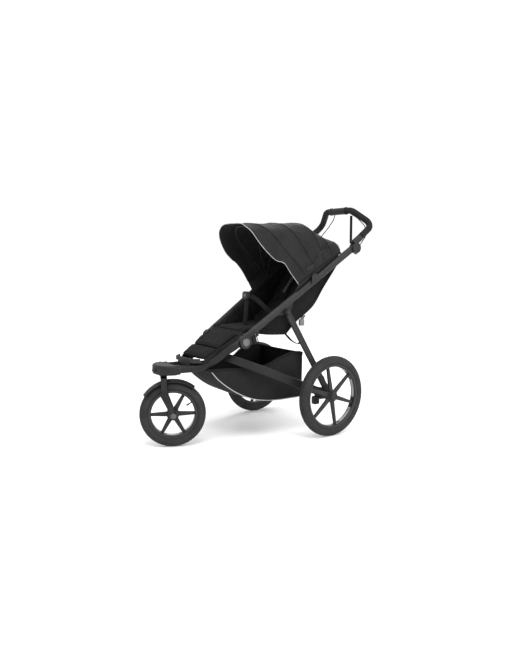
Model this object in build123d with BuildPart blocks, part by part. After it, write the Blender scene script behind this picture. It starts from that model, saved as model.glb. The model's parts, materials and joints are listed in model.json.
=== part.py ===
"""Three-wheeled jogging stroller with a folding frame, drawn in millimetres.

It faces -Y, its left side is +X and the floor is z = 0. Fore and aft places are written from the rear
axle, rearwards positive, and at() and side_plane() move them into the part's own frame.
"""

import os
from math import atan2, cos, degrees, radians, sin

from build123d import *

os.makedirs("parts", exist_ok=True)

SIDES = (("left", 1), ("right", -1))

# Where the rear axle lies in the part's frame, so that the whole object is centred fore and aft.
AXLE_Y = 233.6

# Wheels
REAR_RADIUS, REAR_WIDTH, REAR_TRACK = 200, 46, 322
FRONT_RADIUS, FRONT_WIDTH = 155, 54
SWIVEL_Y, TRAIL, SWIVEL_TURN = -756, 40, -26
CLEARANCE = 0.05

# Side rails: straight oval tubes that rise and spread rearwards
RAIL_HEIGHT_AT_AXLE, RAIL_SLOPE = 771, 0.664
RAIL_HALF_WIDTH, RAIL_FLARE = 192, 0.083
RAIL_WIDE, RAIL_TALL = 22, 36

# Pivots in the side view
FOLD = (-410, 483)
FOLD_X = 158
LEG_TOP = (-172, 614)
LEG_TOP_X = 187
HUB = (253, 931)
HUB_X = 215
CANOPY_HINGE = (-20, 790)
STRUT_FRONT = (-505, 421)
STRUT_FRONT_X = 88
STRUT_REAR_X = 284


def at(x, y, z):
    return Vector(x, y + AXLE_Y, z)


def side_plane(x, turn=0):
    """The side view at x: it runs rearwards and up. turn swings it about the vertical, in degrees."""
    a = radians(turn)
    return Plane(origin=at(x, 0, 0), x_dir=(sin(a), cos(a), 0), z_dir=(cos(a), -sin(a), 0))


def rail(y, side=1):
    """A point on the centre line of a side rail."""
    half = RAIL_HALF_WIDTH + RAIL_FLARE * y
    return at(side * half, y, RAIL_HEIGHT_AT_AXLE + RAIL_SLOPE * y)


rail_up = Vector(0, -RAIL_SLOPE, 1).normalized()
rail_back = Vector(0, 1, RAIL_SLOPE).normalized()


def across(path, sideways=(1, 0, 0)):
    """The plane square to the start of a path, with its own x to the side."""
    return Plane(origin=path @ 0, x_dir=sideways, z_dir=path % 0)


def barrel(x_low, x_high, y, z, radius, mode=Mode.ADD):
    """A round bar, disc or hole about a left-right axis."""
    with Locations(at((x_low + x_high) / 2, y, z)):
        Cylinder(radius, abs(x_high - x_low), rotation=(0, 90, 0), mode=mode)


def mirrored(points):
    """A left half outline carried on, in reverse, as its mirror image."""
    return points + [(-x, *rest) for x, *rest in reversed(points) if x]


# ---------------------------------------------------------------- wheels

BEAD = 47  # from the tread in to the bead seat


def wheel_section(hub, angle=0):
    """The half plane through a wheel's axis, angle degrees above level: x is the radius, y the axis."""
    a = radians(angle)
    radius = hub.x_dir * cos(a) + hub.y_dir * sin(a)
    ahead = hub.y_dir * cos(a) - hub.x_dir * sin(a)
    return Plane(origin=hub.origin, x_dir=radius, z_dir=-ahead)


def make_tyre(hub, radius, width):
    half, seat, flange = width / 2, radius - BEAD, radius - BEAD + 7
    bead = half - 9
    with BuildPart() as tyre:
        with BuildSketch(wheel_section(hub)):
            with BuildLine():
                ThreePointArc((radius - 24, -half), (radius, 0), (radius - 24, half))
                ThreePointArc((radius - 24, half), (radius - 33, half - 2), (flange, bead))
                Polyline((flange, bead), (seat, bead), (seat, -bead), (flange, -bead))
                ThreePointArc((flange, -bead), (radius - 33, 2 - half), (radius - 24, -half))
            make_face()
        revolve(axis=Axis(hub.origin, hub.z_dir))
        with BuildSketch(wheel_section(hub)):
            with Locations((radius - 3.2, 9), (radius - 3.2, -9)):
                Rectangle(3, 2.4)
        revolve(axis=Axis(hub.origin, hub.z_dir), mode=Mode.SUBTRACT)
    return tyre.part


def make_rim(hub, radius, width, hub_inner, hub_outer, bore, first_spoke):
    """A one-piece rim with six tapered spokes. The hub runs from hub_inner to hub_outer along the axis."""
    bead, seat, flange = width / 2 - 9, radius - BEAD - 0.3, radius - BEAD + 6.6
    outer = bead + 3
    with BuildPart() as rim:
        with BuildSketch(hub):
            with PolarLocations(0, 6, start_angle=first_spoke):
                Polygon((27, -11.5), (seat - 3, -7), (seat - 3, 7), (27, 11.5), align=None)
        extrude(amount=7, both=True)
        long_edges = rim.edges().filter_by(lambda e: e.length > 0.5 * radius)
        fillet(long_edges, 4)
        with BuildSketch(wheel_section(hub)):
            with BuildLine():
                Polyline(
                    (flange, bead + 0.3), (flange, outer), (seat - 3, outer), (seat - 6, outer - 4),
                    (seat - 6, 4 - outer), (seat - 3, -outer), (flange, -outer), (flange, -bead - 0.3),
                    (seat, -bead - 0.3), (seat, bead + 0.3), (flange, bead + 0.3),
                )
            make_face()
        revolve(axis=Axis(hub.origin, hub.z_dir))
        with BuildSketch(hub.offset(hub_inner)):
            Circle(24)
        extrude(amount=hub_outer - hub_inner)
        with BuildSketch(hub.offset(-11)):
            Circle(30)
        extrude(amount=22)
        with BuildSketch(hub.offset(hub_inner)):
            Circle(bore + CLEARANCE)
        extrude(amount=hub_outer - hub_inner - (5 if hub_outer < -hub_inner else 0), mode=Mode.SUBTRACT)
    return rim.part


for side, s in SIDES:
    rear_hub = Plane(origin=at(s * REAR_TRACK, 0, REAR_RADIUS), x_dir=(0, 1, 0), z_dir=(s, 0, 0))

    rear_tyre = make_tyre(rear_hub, REAR_RADIUS, REAR_WIDTH)
    rear_tyre.label = f"rear_tyre_{side}"
    export_step(rear_tyre, f"parts/rear_tyre_{side}.step")

    with BuildPart() as hub_cap:
        with BuildSketch(rear_hub.offset(16)):
            Circle(20)
        extrude(amount=8, taper=18)
        fillet(hub_cap.faces().sort_by(Axis.X)[-1 if s > 0 else 0].edges(), 2)
        with BuildSketch(rear_hub.offset(21)):
            Circle(11)
            Circle(9.5, mode=Mode.SUBTRACT)
        extrude(amount=4, mode=Mode.SUBTRACT)

    with BuildPart() as rear_rim:
        add(make_rim(rear_hub, REAR_RADIUS, REAR_WIDTH, -28, 16, 6, 40))
        add(hub_cap.part)
    rear_rim.part.label = f"rear_rim_{side}"
    export_step(rear_rim.part, f"parts/rear_rim_{side}.step")

turn = radians(SWIVEL_TURN)
SWIVEL_ACROSS = Vector(cos(turn), sin(turn), 0)
SWIVEL_BACK = Vector(-sin(turn), cos(turn), 0)
SWIVEL_FOOT = at(0, SWIVEL_Y, 0)
front_hub = Plane(
    origin=SWIVEL_FOOT + SWIVEL_BACK * TRAIL + Vector(0, 0, FRONT_RADIUS),
    x_dir=SWIVEL_BACK,
    z_dir=SWIVEL_ACROSS,
)
FRONT_HUB_HALF = 35

front_tyre = make_tyre(front_hub, FRONT_RADIUS, FRONT_WIDTH)
front_tyre.label = "front_tyre"
export_step(front_tyre, "parts/front_tyre.step")

front_rim = make_rim(front_hub, FRONT_RADIUS, FRONT_WIDTH, -FRONT_HUB_HALF, FRONT_HUB_HALF, 5, 0)
front_rim.label = "front_rim"
export_step(front_rim, "parts/front_rim.step")

VALVE_ANGLE, VALVE_IN, VALVE_CAP, VALVE_LENGTH = 30, FRONT_RADIUS - BEAD - 34, 13, 27.5
valve_out = wheel_section(front_hub, VALVE_ANGLE).x_dir
with BuildPart() as front_valve:
    with BuildSketch(Plane(origin=front_hub.origin + valve_out * VALVE_IN, z_dir=valve_out)):
        Circle(4)
    extrude(amount=VALVE_CAP)
    chamfer(front_valve.edges().filter_by(GeomType.CIRCLE).sort_by_distance(front_hub.origin)[0], 1)
    with BuildSketch(Plane(origin=front_hub.origin + valve_out * (VALVE_IN + VALVE_CAP), z_dir=valve_out)):
        Circle(2.8)
    extrude(amount=VALVE_LENGTH - VALVE_CAP)
front_valve.part.label = "front_valve"
export_step(front_valve.part, "parts/front_valve.step")

# ---------------------------------------------------------------- fork

BLADE_IN, BLADE_OUT = 38, 50
CROWN_LOW, CROWN_HIGH = 318.6, 332
STEM_RADIUS, STEM_TOP = 12, 384


def fork_side(x):
    """The fork's own side view, x to its left: it runs rearwards along the wheel and up."""
    return Plane(origin=SWIVEL_FOOT + SWIVEL_ACROSS * x, x_dir=SWIVEL_BACK, z_dir=SWIVEL_ACROSS)


BLADE_X = (BLADE_IN + BLADE_OUT) / 2
with BuildPart() as fork:
    for blade_x in (BLADE_X, -BLADE_X):
        foot = SWIVEL_FOOT + SWIVEL_ACROSS * blade_x
        with BuildLine() as centre:
            FilletPolyline(
                foot + Vector(0, 0, CROWN_HIGH), foot + Vector(0, 0, 262),
                front_hub.origin + SWIVEL_ACROSS * blade_x, radius=70,
            )
        with BuildSketch(across(centre.line, SWIVEL_ACROSS)):
            RectangleRounded(BLADE_OUT - BLADE_IN, 27, 5)
        sweep()
    for blade_x in (BLADE_IN, -BLADE_OUT):
        with BuildSketch(fork_side(blade_x)):
            with Locations((TRAIL, FRONT_RADIUS)):
                Circle(15)
        extrude(amount=BLADE_OUT - BLADE_IN)
    with BuildSketch(Plane(origin=SWIVEL_FOOT + Vector(0, 0, CROWN_LOW), x_dir=SWIVEL_ACROSS)):
        RectangleRounded(2 * BLADE_OUT, 30, 8)
    extrude(amount=CROWN_HIGH - CROWN_LOW)
    with BuildSketch(fork_side(-BLADE_OUT)):
        with Locations((TRAIL, FRONT_RADIUS)):
            Circle(5)
    extrude(amount=2 * BLADE_OUT, mode=Mode.SUBTRACT)
    with BuildSketch(Plane(origin=SWIVEL_FOOT + Vector(0, 0, CROWN_HIGH))):
        Circle(STEM_RADIUS)
    extrude(amount=STEM_TOP - CROWN_HIGH)
fork.part.label = "fork"
export_step(fork.part, "parts/fork.step")

with BuildPart() as front_axle:
    with BuildSketch(fork_side(-BLADE_OUT)):
        with Locations((TRAIL, FRONT_RADIUS)):
            Circle(5)
    extrude(amount=2 * BLADE_OUT)
    for cap_x in (BLADE_OUT, -BLADE_OUT - 5):
        with BuildSketch(fork_side(cap_x)):
            with Locations((TRAIL, FRONT_RADIUS)):
                Circle(13)
        extrude(amount=5)
    fillet(front_axle.edges().filter_by(GeomType.CIRCLE).filter_by(lambda e: e.radius > 12), 1.5)
front_axle.part.label = "front_axle"
export_step(front_axle.part, "parts/front_axle.step")

FENDER_RADIUS, FENDER_HALF, FENDER_WALL, FENDER_AHEAD, FENDER_BEHIND = 165, 35, 2.5, 55, 39
with BuildPart() as fender:
    with BuildSketch(wheel_section(front_hub, 90 - FENDER_BEHIND)):
        with BuildLine():
            outer, inner = FENDER_RADIUS - 8, FENDER_RADIUS - 8 - FENDER_WALL
            ThreePointArc((outer, -FENDER_HALF), (outer + 8, 0), (outer, FENDER_HALF))
            Line((outer, FENDER_HALF), (inner, FENDER_HALF))
            ThreePointArc((inner, FENDER_HALF), (inner + 8, 0), (inner, -FENDER_HALF))
            Line((inner, -FENDER_HALF), (outer, -FENDER_HALF))
        make_face()
    revolve(axis=Axis(front_hub.origin, front_hub.z_dir), revolution_arc=FENDER_AHEAD + FENDER_BEHIND)
    with BuildSketch(Plane(origin=SWIVEL_FOOT + Vector(0, 0, CROWN_LOW - 3))):
        Circle(9)
    extrude(amount=3)
fender.part.label = "fender"
export_step(fender.part, "parts/fender.step")

# ---------------------------------------------------------------- nose and front tubes

NOSE_LOW, NOSE_HIGH, NOSE_FRONT, NOSE_BACK = 347, 391, -802, -730
SOCKET_FRONT, SOCKET_END = -756, -707
TUBE_X, TUBE_Y, TUBE_Z = 62, -716, 368
STEM_COLLAR = 13  # how far the swivel's collar stands below the nose


def facing_back(x, y, z):
    """An upright plane across the stroller, whose normal runs rearwards."""
    return Plane(origin=at(x, y, z), x_dir=(1, 0, 0), z_dir=(0, 1, 0))



with BuildPart() as nose:
    with BuildSketch(Plane(origin=at(0, 0, NOSE_LOW))):
        with BuildLine():
            Polyline((-84, NOSE_BACK - 14), (-84, NOSE_BACK), (84, NOSE_BACK), (84, NOSE_BACK - 14))
            Spline((84, NOSE_BACK - 14), (62, -780), (0, NOSE_FRONT), (-62, -780), (-84, NOSE_BACK - 14))
        make_face()
    extrude(amount=NOSE_HIGH - NOSE_LOW)
    fillet(nose.faces().sort_by(Axis.Z)[-1].edges().filter_by(GeomType.BSPLINE), 10)
    fillet(nose.faces().sort_by(Axis.Z)[0].edges().filter_by(GeomType.BSPLINE), 6)
    for s in (1, -1):
        with BuildSketch(facing_back(s * TUBE_X, SOCKET_FRONT, TUBE_Z)):
            SlotOverall(46, 33, rotation=90)
        extrude(amount=SOCKET_END - SOCKET_FRONT)
    with Locations(at(0, SWIVEL_Y, NOSE_LOW - STEM_COLLAR / 2 + 1)):
        Cone(17, 29, STEM_COLLAR + 2)
    with BuildSketch(Plane(origin=at(0, SWIVEL_Y, NOSE_LOW - STEM_COLLAR))):
        Circle(STEM_RADIUS + CLEARANCE)
    extrude(amount=STEM_TOP + 1 - NOSE_LOW + STEM_COLLAR, mode=Mode.SUBTRACT)
    for s in (1, -1):
        with BuildSketch(facing_back(s * TUBE_X, TUBE_Y, TUBE_Z)):
            SlotOverall(RAIL_TALL + 3, RAIL_WIDE + 3, rotation=90)
        extrude(amount=20, mode=Mode.SUBTRACT)
nose.part.label = "nose"
export_step(nose.part, "parts/nose.step")

LOCK_KNOB_Z, LOCK_KNOB_RADIUS = 367, 12
with BuildPart() as swivel_lock_knob:
    with BuildSketch(Plane(origin=at(0, NOSE_FRONT - 0.4, LOCK_KNOB_Z), x_dir=(1, 0, 0), z_dir=(0, -1, 0))):
        Circle(LOCK_KNOB_RADIUS)
    extrude(amount=5)
    with BuildSketch(Plane(origin=at(0, NOSE_FRONT - 4, LOCK_KNOB_Z), x_dir=(1, 0, 0), z_dir=(0, -1, 0))):
        SlotOverall(21, 6)
    extrude(amount=6)
    fillet(swivel_lock_knob.faces().sort_by(Axis.Y)[0].edges(), 2)
swivel_lock_knob.part.label = "swivel_lock_knob"
export_step(swivel_lock_knob.part, "parts/swivel_lock_knob.step")

RAIL_END = HUB[0] - 30
FOLD_GAP = 36  # each front tube stops this far from the fold axis
CHEEK_START, CHEEK_END = 10, 74  # and here the fold's cheek block takes over from each side rail
RAIL_LENGTH = (1 + RAIL_SLOPE**2) ** 0.5


def along_rail(side):
    """The direction a side rail runs in, rearwards."""
    return rail(1, side) - rail(0, side)


def beside_fold(distance, side):
    """The point of a rail's line that is level with the fold axis, moved along the rail."""
    nearest = FOLD[0] + (FOLD[1] - RAIL_HEIGHT_AT_AXLE - RAIL_SLOPE * FOLD[0]) * RAIL_SLOPE / RAIL_LENGTH**2
    return rail(nearest + distance / RAIL_LENGTH, side)


for side, s in SIDES:
    with BuildPart() as front_tube:
        with BuildLine() as centre:
            Spline(
                beside_fold(-FOLD_GAP, s),
                at(s * 137, -488, 446),
                at(s * 106, -551, 395),
                at(s * 72, -617, 369),
                at(s * TUBE_X, TUBE_Y, TUBE_Z),
                tangents=[(-s * RAIL_FLARE, -1, -RAIL_SLOPE), (0, -1, 0)],
            )
        with BuildSketch(across(centre.line, (s, 0, 0))):
            SlotOverall(RAIL_TALL, RAIL_WIDE, rotation=90)
        sweep()
        barrel(s * (STRUT_FRONT_X + 6.5), s * (STRUT_FRONT_X + 36), *STRUT_FRONT, 8)
    front_tube.part.label = f"front_tube_{side}"
    export_step(front_tube.part, f"parts/front_tube_{side}.step")

    with BuildPart() as side_rail:
        with BuildLine() as centre:
            Line(beside_fold(CHEEK_END, s), rail(RAIL_END, s))
        with BuildSketch(across(centre.line, (s, 0, 0))):
            SlotOverall(RAIL_TALL, RAIL_WIDE, rotation=90)
        sweep()
    side_rail.part.label = f"side_rail_{side}"
    export_step(side_rail.part, f"parts/side_rail_{side}.step")

# The tongues of the fold joint, on the front tubes' ends, and their cheeks, on the side rails' ends
with BuildPart() as fold_tongues:
    for s in (1, -1):
        barrel(s * (FOLD_X - 9), s * (FOLD_X + 9), *FOLD, 30)
        with BuildSketch(Plane(origin=beside_fold(-FOLD_GAP, s), x_dir=(s, 0, 0), z_dir=along_rail(s))):
            SlotOverall(30, 13, rotation=90)
        extrude(amount=FOLD_GAP)
        barrel(s * (FOLD_X - 9), s * (FOLD_X + 9), *FOLD, 8 + CLEARANCE, mode=Mode.SUBTRACT)
fold_tongues.part.label = "fold_tongues"
export_step(fold_tongues.part, "parts/fold_tongues.step")

with BuildPart() as fold_cheeks:
    for s in (1, -1):
        for low, high in ((FOLD_X - 15, FOLD_X - 9.4), (FOLD_X + 9.4, FOLD_X + 16)):
            barrel(s * low, s * high, *FOLD, 31)
        with BuildSketch(Plane(origin=beside_fold(CHEEK_START, s), x_dir=(s, 0, 0), z_dir=along_rail(s))):
            SlotOverall(RAIL_TALL, RAIL_WIDE, rotation=90)
        extrude(amount=CHEEK_END - CHEEK_START)
        barrel(s * (FOLD_X - 9.4), s * (FOLD_X + 9.4), *FOLD, 31.5, mode=Mode.SUBTRACT)
        barrel(s * (FOLD_X - 15), s * (FOLD_X + 16), *FOLD, 8)
fold_cheeks.part.label = "fold_cheeks"
export_step(fold_cheeks.part, "parts/fold_cheeks.step")

with BuildPart() as fold_caps:
    for s in (1, -1):
        cap_face = Plane(origin=at(s * (FOLD_X + 16), *FOLD), x_dir=(0, 1, 0), z_dir=(s, 0, 0))
        with BuildSketch(cap_face):
            Circle(18)
        extrude(amount=3)
        with BuildSketch(cap_face.offset(2.2)):
            Circle(15)
            Circle(13.5, mode=Mode.SUBTRACT)
        extrude(amount=1, mode=Mode.SUBTRACT)
fold_caps.part.label = "fold_caps"
export_step(fold_caps.part, "parts/fold_caps.step")

with BuildPart() as fold_crossbar:
    barrel(15 - FOLD_X, FOLD_X - 15, *FOLD, 9)
fold_crossbar.part.label = "fold_crossbar"
export_step(fold_crossbar.part, "parts/fold_crossbar.step")

TOP_BAR = (172, 868)
with BuildPart() as top_crossbar:
    with Locations(at(0, *TOP_BAR)):
        Cylinder(11, 387, rotation=(0, 90, 0))
top_crossbar.part.label = "top_crossbar"
export_step(top_crossbar.part, "parts/top_crossbar.step")

with BuildPart() as fold_hook:
    with BuildSketch(side_plane(150.6)):
        with BuildLine():
            Polyline((-345, 520), (-325, 533), (-325, 508), (-342, 500), (-350, 507), (-338, 512),
                     (-336, 518), close=True)
        make_face()
    extrude(amount=8)
fold_hook.part.label = "fold_hook"
export_step(fold_hook.part, "parts/fold_hook.step")

# ---------------------------------------------------------------- rear legs, axle and lower struts

LEG_FOOT = (265, 20, 218)
LEG_THICK, LEG_DEEP = 18, 34
LEG_LENGTH = (Vector(*LEG_FOOT) - Vector(LEG_TOP_X, *LEG_TOP)).length


def leg(distance, side, out=0, back=0):
    """A point this far down a rear leg's centre line, moved outwards and rearwards from it."""
    t = distance / LEG_LENGTH
    top, foot = (LEG_TOP_X, *LEG_TOP), LEG_FOOT
    x, y, z = (a + (b - a) * t for a, b in zip(top, foot))
    return at(side * (x + out), y + back, z)


strut_fall = REAR_RADIUS - STRUT_FRONT[1]
STRUT_STRETCH = (1 + (strut_fall / STRUT_FRONT[0]) ** 2) ** 0.5
strut_plane = Plane(origin=at(0, 0, REAR_RADIUS), x_dir=(1, 0, 0), z_dir=(0, -strut_fall, -STRUT_FRONT[0]))
STRUT_PLAN = ((92, -484), (150, -444), (198, -370), (234, -229), (261, -140), (STRUT_REAR_X, -40))

for side, s in SIDES:
    with BuildPart() as rear_leg:
        with BuildLine() as centre:
            Line(leg(14, s), leg(LEG_LENGTH - 8, s))
        with BuildSketch(across(centre.line, (s, 0, 0))):
            SlotOverall(LEG_DEEP, LEG_THICK, rotation=90)
        sweep()
        barrel(s * (LEG_TOP_X - 9), s * (LEG_TOP_X + 9), *LEG_TOP, 15.5)
        barrel(s * (LEG_TOP_X - 10), s * (LEG_TOP_X + 10), *LEG_TOP, 7 + CLEARANCE, mode=Mode.SUBTRACT)
        with BuildSketch(Plane(origin=leg(386, s, back=17), x_dir=(s, 0, 0), z_dir=(0, 1, 0.45))):
            RectangleRounded(16, 42, 6)
        extrude(amount=-14)
    rear_leg.part.label = f"rear_leg_{side}"
    export_step(rear_leg.part, f"parts/rear_leg_{side}.step")

    with BuildPart() as lower_strut:
        with BuildSketch(strut_plane):
            with BuildLine():
                plan = [(s * x, y * STRUT_STRETCH) for x, y in STRUT_PLAN]
                Spline(*plan, tangents=[(s * 1.2, 1), (0, 1)])
            trace(line_width=14)
        extrude(amount=20, both=True)
        fillet(lower_strut.edges().filter_by(lambda e: e.length > 300), 5)
        barrel(s * (STRUT_FRONT_X - 6), s * (STRUT_FRONT_X + 6), *STRUT_FRONT, 19)
        with BuildSketch(side_plane(s * (STRUT_FRONT_X - 6))):
            with BuildLine():
                Polyline((-512, 403), (-498, 440), (-478, 428), (-474, 392), close=True)
            make_face()
        extrude(amount=s * 12)
        barrel(s * (STRUT_REAR_X - 7), s * (STRUT_REAR_X + 7), 0, REAR_RADIUS, 21)
        with BuildSketch(side_plane(s * (STRUT_REAR_X - 7))):
            with BuildLine():
                Polyline((-46, 238), (0, 221), (0, 179), (-46, 202), close=True)
            make_face()
        extrude(amount=s * 14)
        barrel(s * (STRUT_REAR_X - 8), s * (STRUT_REAR_X + 8), 0, REAR_RADIUS, 8 + CLEARANCE, mode=Mode.SUBTRACT)
    lower_strut.part.label = f"lower_strut_{side}"
    export_step(lower_strut.part, f"parts/lower_strut_{side}.step")

with BuildPart() as leg_brackets:
    for s in (1, -1):
        with BuildSketch(side_plane(s * 167.5)):
            with BuildLine():
                Polyline((-232, 600), (-128, 669), (-132, 640), (-160, 601), (-184, 601), close=True)
            make_face()
            with Locations(LEG_TOP):
                Circle(17)
        extrude(amount=s * 9)
        barrel(s * 167.5, s * (LEG_TOP_X + 9.5), *LEG_TOP, 7)
        barrel(s * (LEG_TOP_X + 9.5), s * (LEG_TOP_X + 13), *LEG_TOP, 11)
        with BuildSketch(Plane(origin=rail(-260, s), x_dir=(s, 0, 0), z_dir=along_rail(s))):
            SlotOverall(RAIL_TALL, RAIL_WIDE, rotation=90)
        extrude(amount=200, mode=Mode.SUBTRACT)
leg_brackets.part.label = "leg_brackets"
export_step(leg_brackets.part, "parts/leg_brackets.step")

# The outboard stubs carry the struts' eyes, then the wheels
with BuildPart() as axle_housings:
    for s in (1, -1):
        barrel(s * 250, s * 275.5, 0, REAR_RADIUS, 24)
        with BuildSketch(side_plane(s * 256)):
            with BuildLine():
                Polyline((-20, 200), (-4, 240), (34, 246), (40, 222), (22, 196), close=True)
            make_face()
        extrude(amount=s * 19.5)
        barrel(s * 275, s * 292, 0, REAR_RADIUS, 8)
        barrel(s * 291, s * (REAR_TRACK + 9), 0, REAR_RADIUS, 6)
        barrel(s * 240, s * 262, 0, REAR_RADIUS, 13, mode=Mode.SUBTRACT)
        with BuildSketch(Plane(origin=leg(LEG_LENGTH - 60, s), x_dir=(s, 0, 0), z_dir=leg(9, s) - leg(0, s))):
            SlotOverall(LEG_DEEP, LEG_THICK, rotation=90)
        extrude(amount=52, mode=Mode.SUBTRACT)
axle_housings.part.label = "axle_housings"
export_step(axle_housings.part, "parts/axle_housings.step")

with BuildPart() as axle_tube:
    barrel(-262, 262, 0, REAR_RADIUS, 13)
axle_tube.part.label = "axle_tube"
export_step(axle_tube.part, "parts/axle_tube.step")

BRAKE_X = 228
with BuildPart() as brake_housings:
    for s in (1, -1):
        barrel(s * BRAKE_X, s * 249.5, 0, REAR_RADIUS, 30)
        with BuildSketch(side_plane(s * BRAKE_X)):
            with Locations((-30, 168)):
                RectangleRounded(34, 40, 6)
        extrude(amount=s * 20)
        barrel(s * (BRAKE_X - 1), s * 252, 0, REAR_RADIUS, 13, mode=Mode.SUBTRACT)
brake_housings.part.label = "brake_housings"
export_step(brake_housings.part, "parts/brake_housings.step")

# ---------------------------------------------------------------- handlebar

HANDLE_RISE = 26  # the arms pass this far above the hub's centre, square to the rail


def hub_point(back, up, x=0):
    """A point given along and square to the rail from the handle hub's centre."""
    hub = at(x, *HUB)
    return hub + rail_back * back + rail_up * up


ARM_START = 36
HANDLE_BEND, HANDLE_TOP = (202, 392, 1054), (100, 336, 1133)


def arm_run(side):
    """The direction of the handle's straight arm, upwards and rearwards."""
    bend = at(side * HANDLE_BEND[0], *HANDLE_BEND[1:])
    return (bend - hub_point(ARM_START, HANDLE_RISE, side * HUB_X)).normalized()


def arm_point(distance, side):
    """A point this far up the handle's straight arm."""
    return hub_point(ARM_START, HANDLE_RISE, side * HUB_X) + arm_run(side) * distance


with BuildPart() as handle_tube:
    with BuildLine() as loop:
        FilletPolyline(
            *mirrored([
                tuple(arm_point(0, 1)),
                tuple(at(*HANDLE_BEND)),
                tuple(at(*HANDLE_TOP)),
            ]),
            radius=48,
        )
    with BuildSketch(across(loop.line)):
        Circle(12)
    sweep()
handle_tube.part.label = "handle_tube"
export_step(handle_tube.part, "parts/handle_tube.step")

with BuildPart() as rail_ends:
    for s in (1, -1):
        barrel(s * (HUB_X - 7), s * (HUB_X + 7), *HUB, 22)
        with BuildSketch(side_plane(s * (HUB_X - 7))):
            with BuildLine():
                Polyline((215, 931), (237, 947), (253, 951), (253, 911), (231, 908), close=True)
            make_face()
        extrude(amount=s * 14)
        with BuildSketch(Plane(origin=rail(RAIL_END, s), x_dir=(s, 0, 0), z_dir=along_rail(s))):
            SlotOverall(RAIL_TALL, RAIL_WIDE, rotation=90)
        extrude(amount=3)
        with BuildSketch(Plane(origin=rail(RAIL_END, s), x_dir=(s, 0, 0), z_dir=along_rail(s))):
            Rectangle(60, 60)
        extrude(amount=-30, mode=Mode.SUBTRACT)
        barrel(s * (HUB_X - 8), s * (HUB_X + 8), *HUB, 8 + CLEARANCE, mode=Mode.SUBTRACT)
rail_ends.part.label = "rail_ends"
export_step(rail_ends.part, "parts/rail_ends.step")

with BuildPart() as handle_hubs:
    for s in (1, -1):
        for low, high in ((HUB_X - 16, HUB_X - 7.4), (HUB_X + 7.4, HUB_X + 16)):
            barrel(s * low, s * high, *HUB, 27)
        with BuildSketch(Plane(origin=hub_point(0, HANDLE_RISE, s * HUB_X), x_dir=(s, 0, 0), z_dir=rail_back)):
            SlotOverall(36, 32, rotation=90)
        extrude(amount=60)
        barrel(s * (HUB_X - 7.4), s * (HUB_X + 7.4), *HUB, 26, mode=Mode.SUBTRACT)
        with BuildSketch(Plane(origin=arm_point(0, s), z_dir=arm_run(s))):
            Circle(12)
        extrude(amount=40, mode=Mode.SUBTRACT)
        barrel(s * (HUB_X - 16), s * (HUB_X + 16), *HUB, 8)
handle_hubs.part.label = "handle_hubs"
export_step(handle_hubs.part, "parts/handle_hubs.step")

# ---------------------------------------------------------------- handle foam, grip, cables and strap

GRIP_HALF, FOAM_RADIUS, GRIP_RADIUS = 62, 17, 19
with BuildPart() as handle_foam:
    for s in (1, -1):
        with BuildLine() as centre:
            FilletPolyline(
                arm_point(30, s), at(s * HANDLE_BEND[0], *HANDLE_BEND[1:]),
                at(s * HANDLE_TOP[0], *HANDLE_TOP[1:]), at(s * (GRIP_HALF + 1), *HANDLE_TOP[1:]), radius=48,
            )
        with BuildSketch(across(centre.line)):
            Circle(FOAM_RADIUS)
            Circle(12.1, mode=Mode.SUBTRACT)
        sweep()
handle_foam.part.label = "handle_foam"
export_step(handle_foam.part, "parts/handle_foam.step")

with BuildPart() as brake_grip:
    with Locations(at(0, 336, 1133)):
        Cylinder(GRIP_RADIUS, 2 * GRIP_HALF, rotation=(0, 90, 0))
        with Locations((-GRIP_HALF + 5, 0), (GRIP_HALF - 5, 0)):
            Cylinder(GRIP_RADIUS + 1.5, 8, rotation=(0, 90, 0))
        Cylinder(12 + CLEARANCE, 2 * GRIP_HALF + 2, rotation=(0, 90, 0), mode=Mode.SUBTRACT)
brake_grip.part.label = "brake_grip"
export_step(brake_grip.part, "parts/brake_grip.step")

CABLE_RADIUS = 2.5


def cable(points, radii):
    """A held cable: straight runs joined by wide arcs."""
    with BuildPart() as made:
        with BuildLine() as centre:
            FilletPolyline(*points, radius=radii)
        with BuildSketch(Plane(origin=centre.line @ 0, z_dir=centre.line % 0)):
            Circle(CABLE_RADIUS)
        sweep()
    return made.part


with BuildPart() as handle_cables:
    for s in (1, -1):
        add(cable(
            [at(s * 58, 362, 1122), at(s * 96, 386, 1093), at(s * 146, 392, 1050), at(s * 181, 366, 997),
             at(s * 190, 305, 938), at(s * 195, 268, 917)],
            [40, 60, 60, 30],
        ))
handle_cables.part.label = "handle_cables"
export_step(handle_cables.part, "parts/handle_cables.step")

with BuildPart() as leg_cables:
    for s in (1, -1):
        add(cable(
            [leg(30, s, -13.5, -10), leg(130, s, -14, 14), leg(250, s, -14, 18), leg(350, s, -15, 4),
             at(s * 238, 17, 230)],
            [120, 200, 60],
        ))
leg_cables.part.label = "leg_cables"
export_step(leg_cables.part, "parts/leg_cables.step")

STRAP_TOP, STRAP_LENGTH, STRAP_WIDE = (86, 347, 1106), 150, 14
with BuildPart() as wrist_strap:
    with BuildSketch(Plane(origin=at(STRAP_TOP[0], STRAP_TOP[1], STRAP_TOP[2] - STRAP_LENGTH))):
        RectangleRounded(STRAP_WIDE, 4, 1.5)
    extrude(amount=STRAP_LENGTH)
wrist_strap.part.label = "wrist_strap"
export_step(wrist_strap.part, "parts/wrist_strap.step")

for side, s in SIDES:
    with BuildPart() as hub_button:
        with BuildSketch(Plane(origin=at(s * HUB_X, HUB[0] + 6, HUB[1] - 34), z_dir=(0, 0, 1))):
            RectangleRounded(14, 16, 5)
        extrude(amount=8.5)
    hub_button.part.label = f"hub_button_{side}"
    export_step(hub_button.part, f"parts/hub_button_{side}.step")

# ---------------------------------------------------------------- seat

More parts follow.
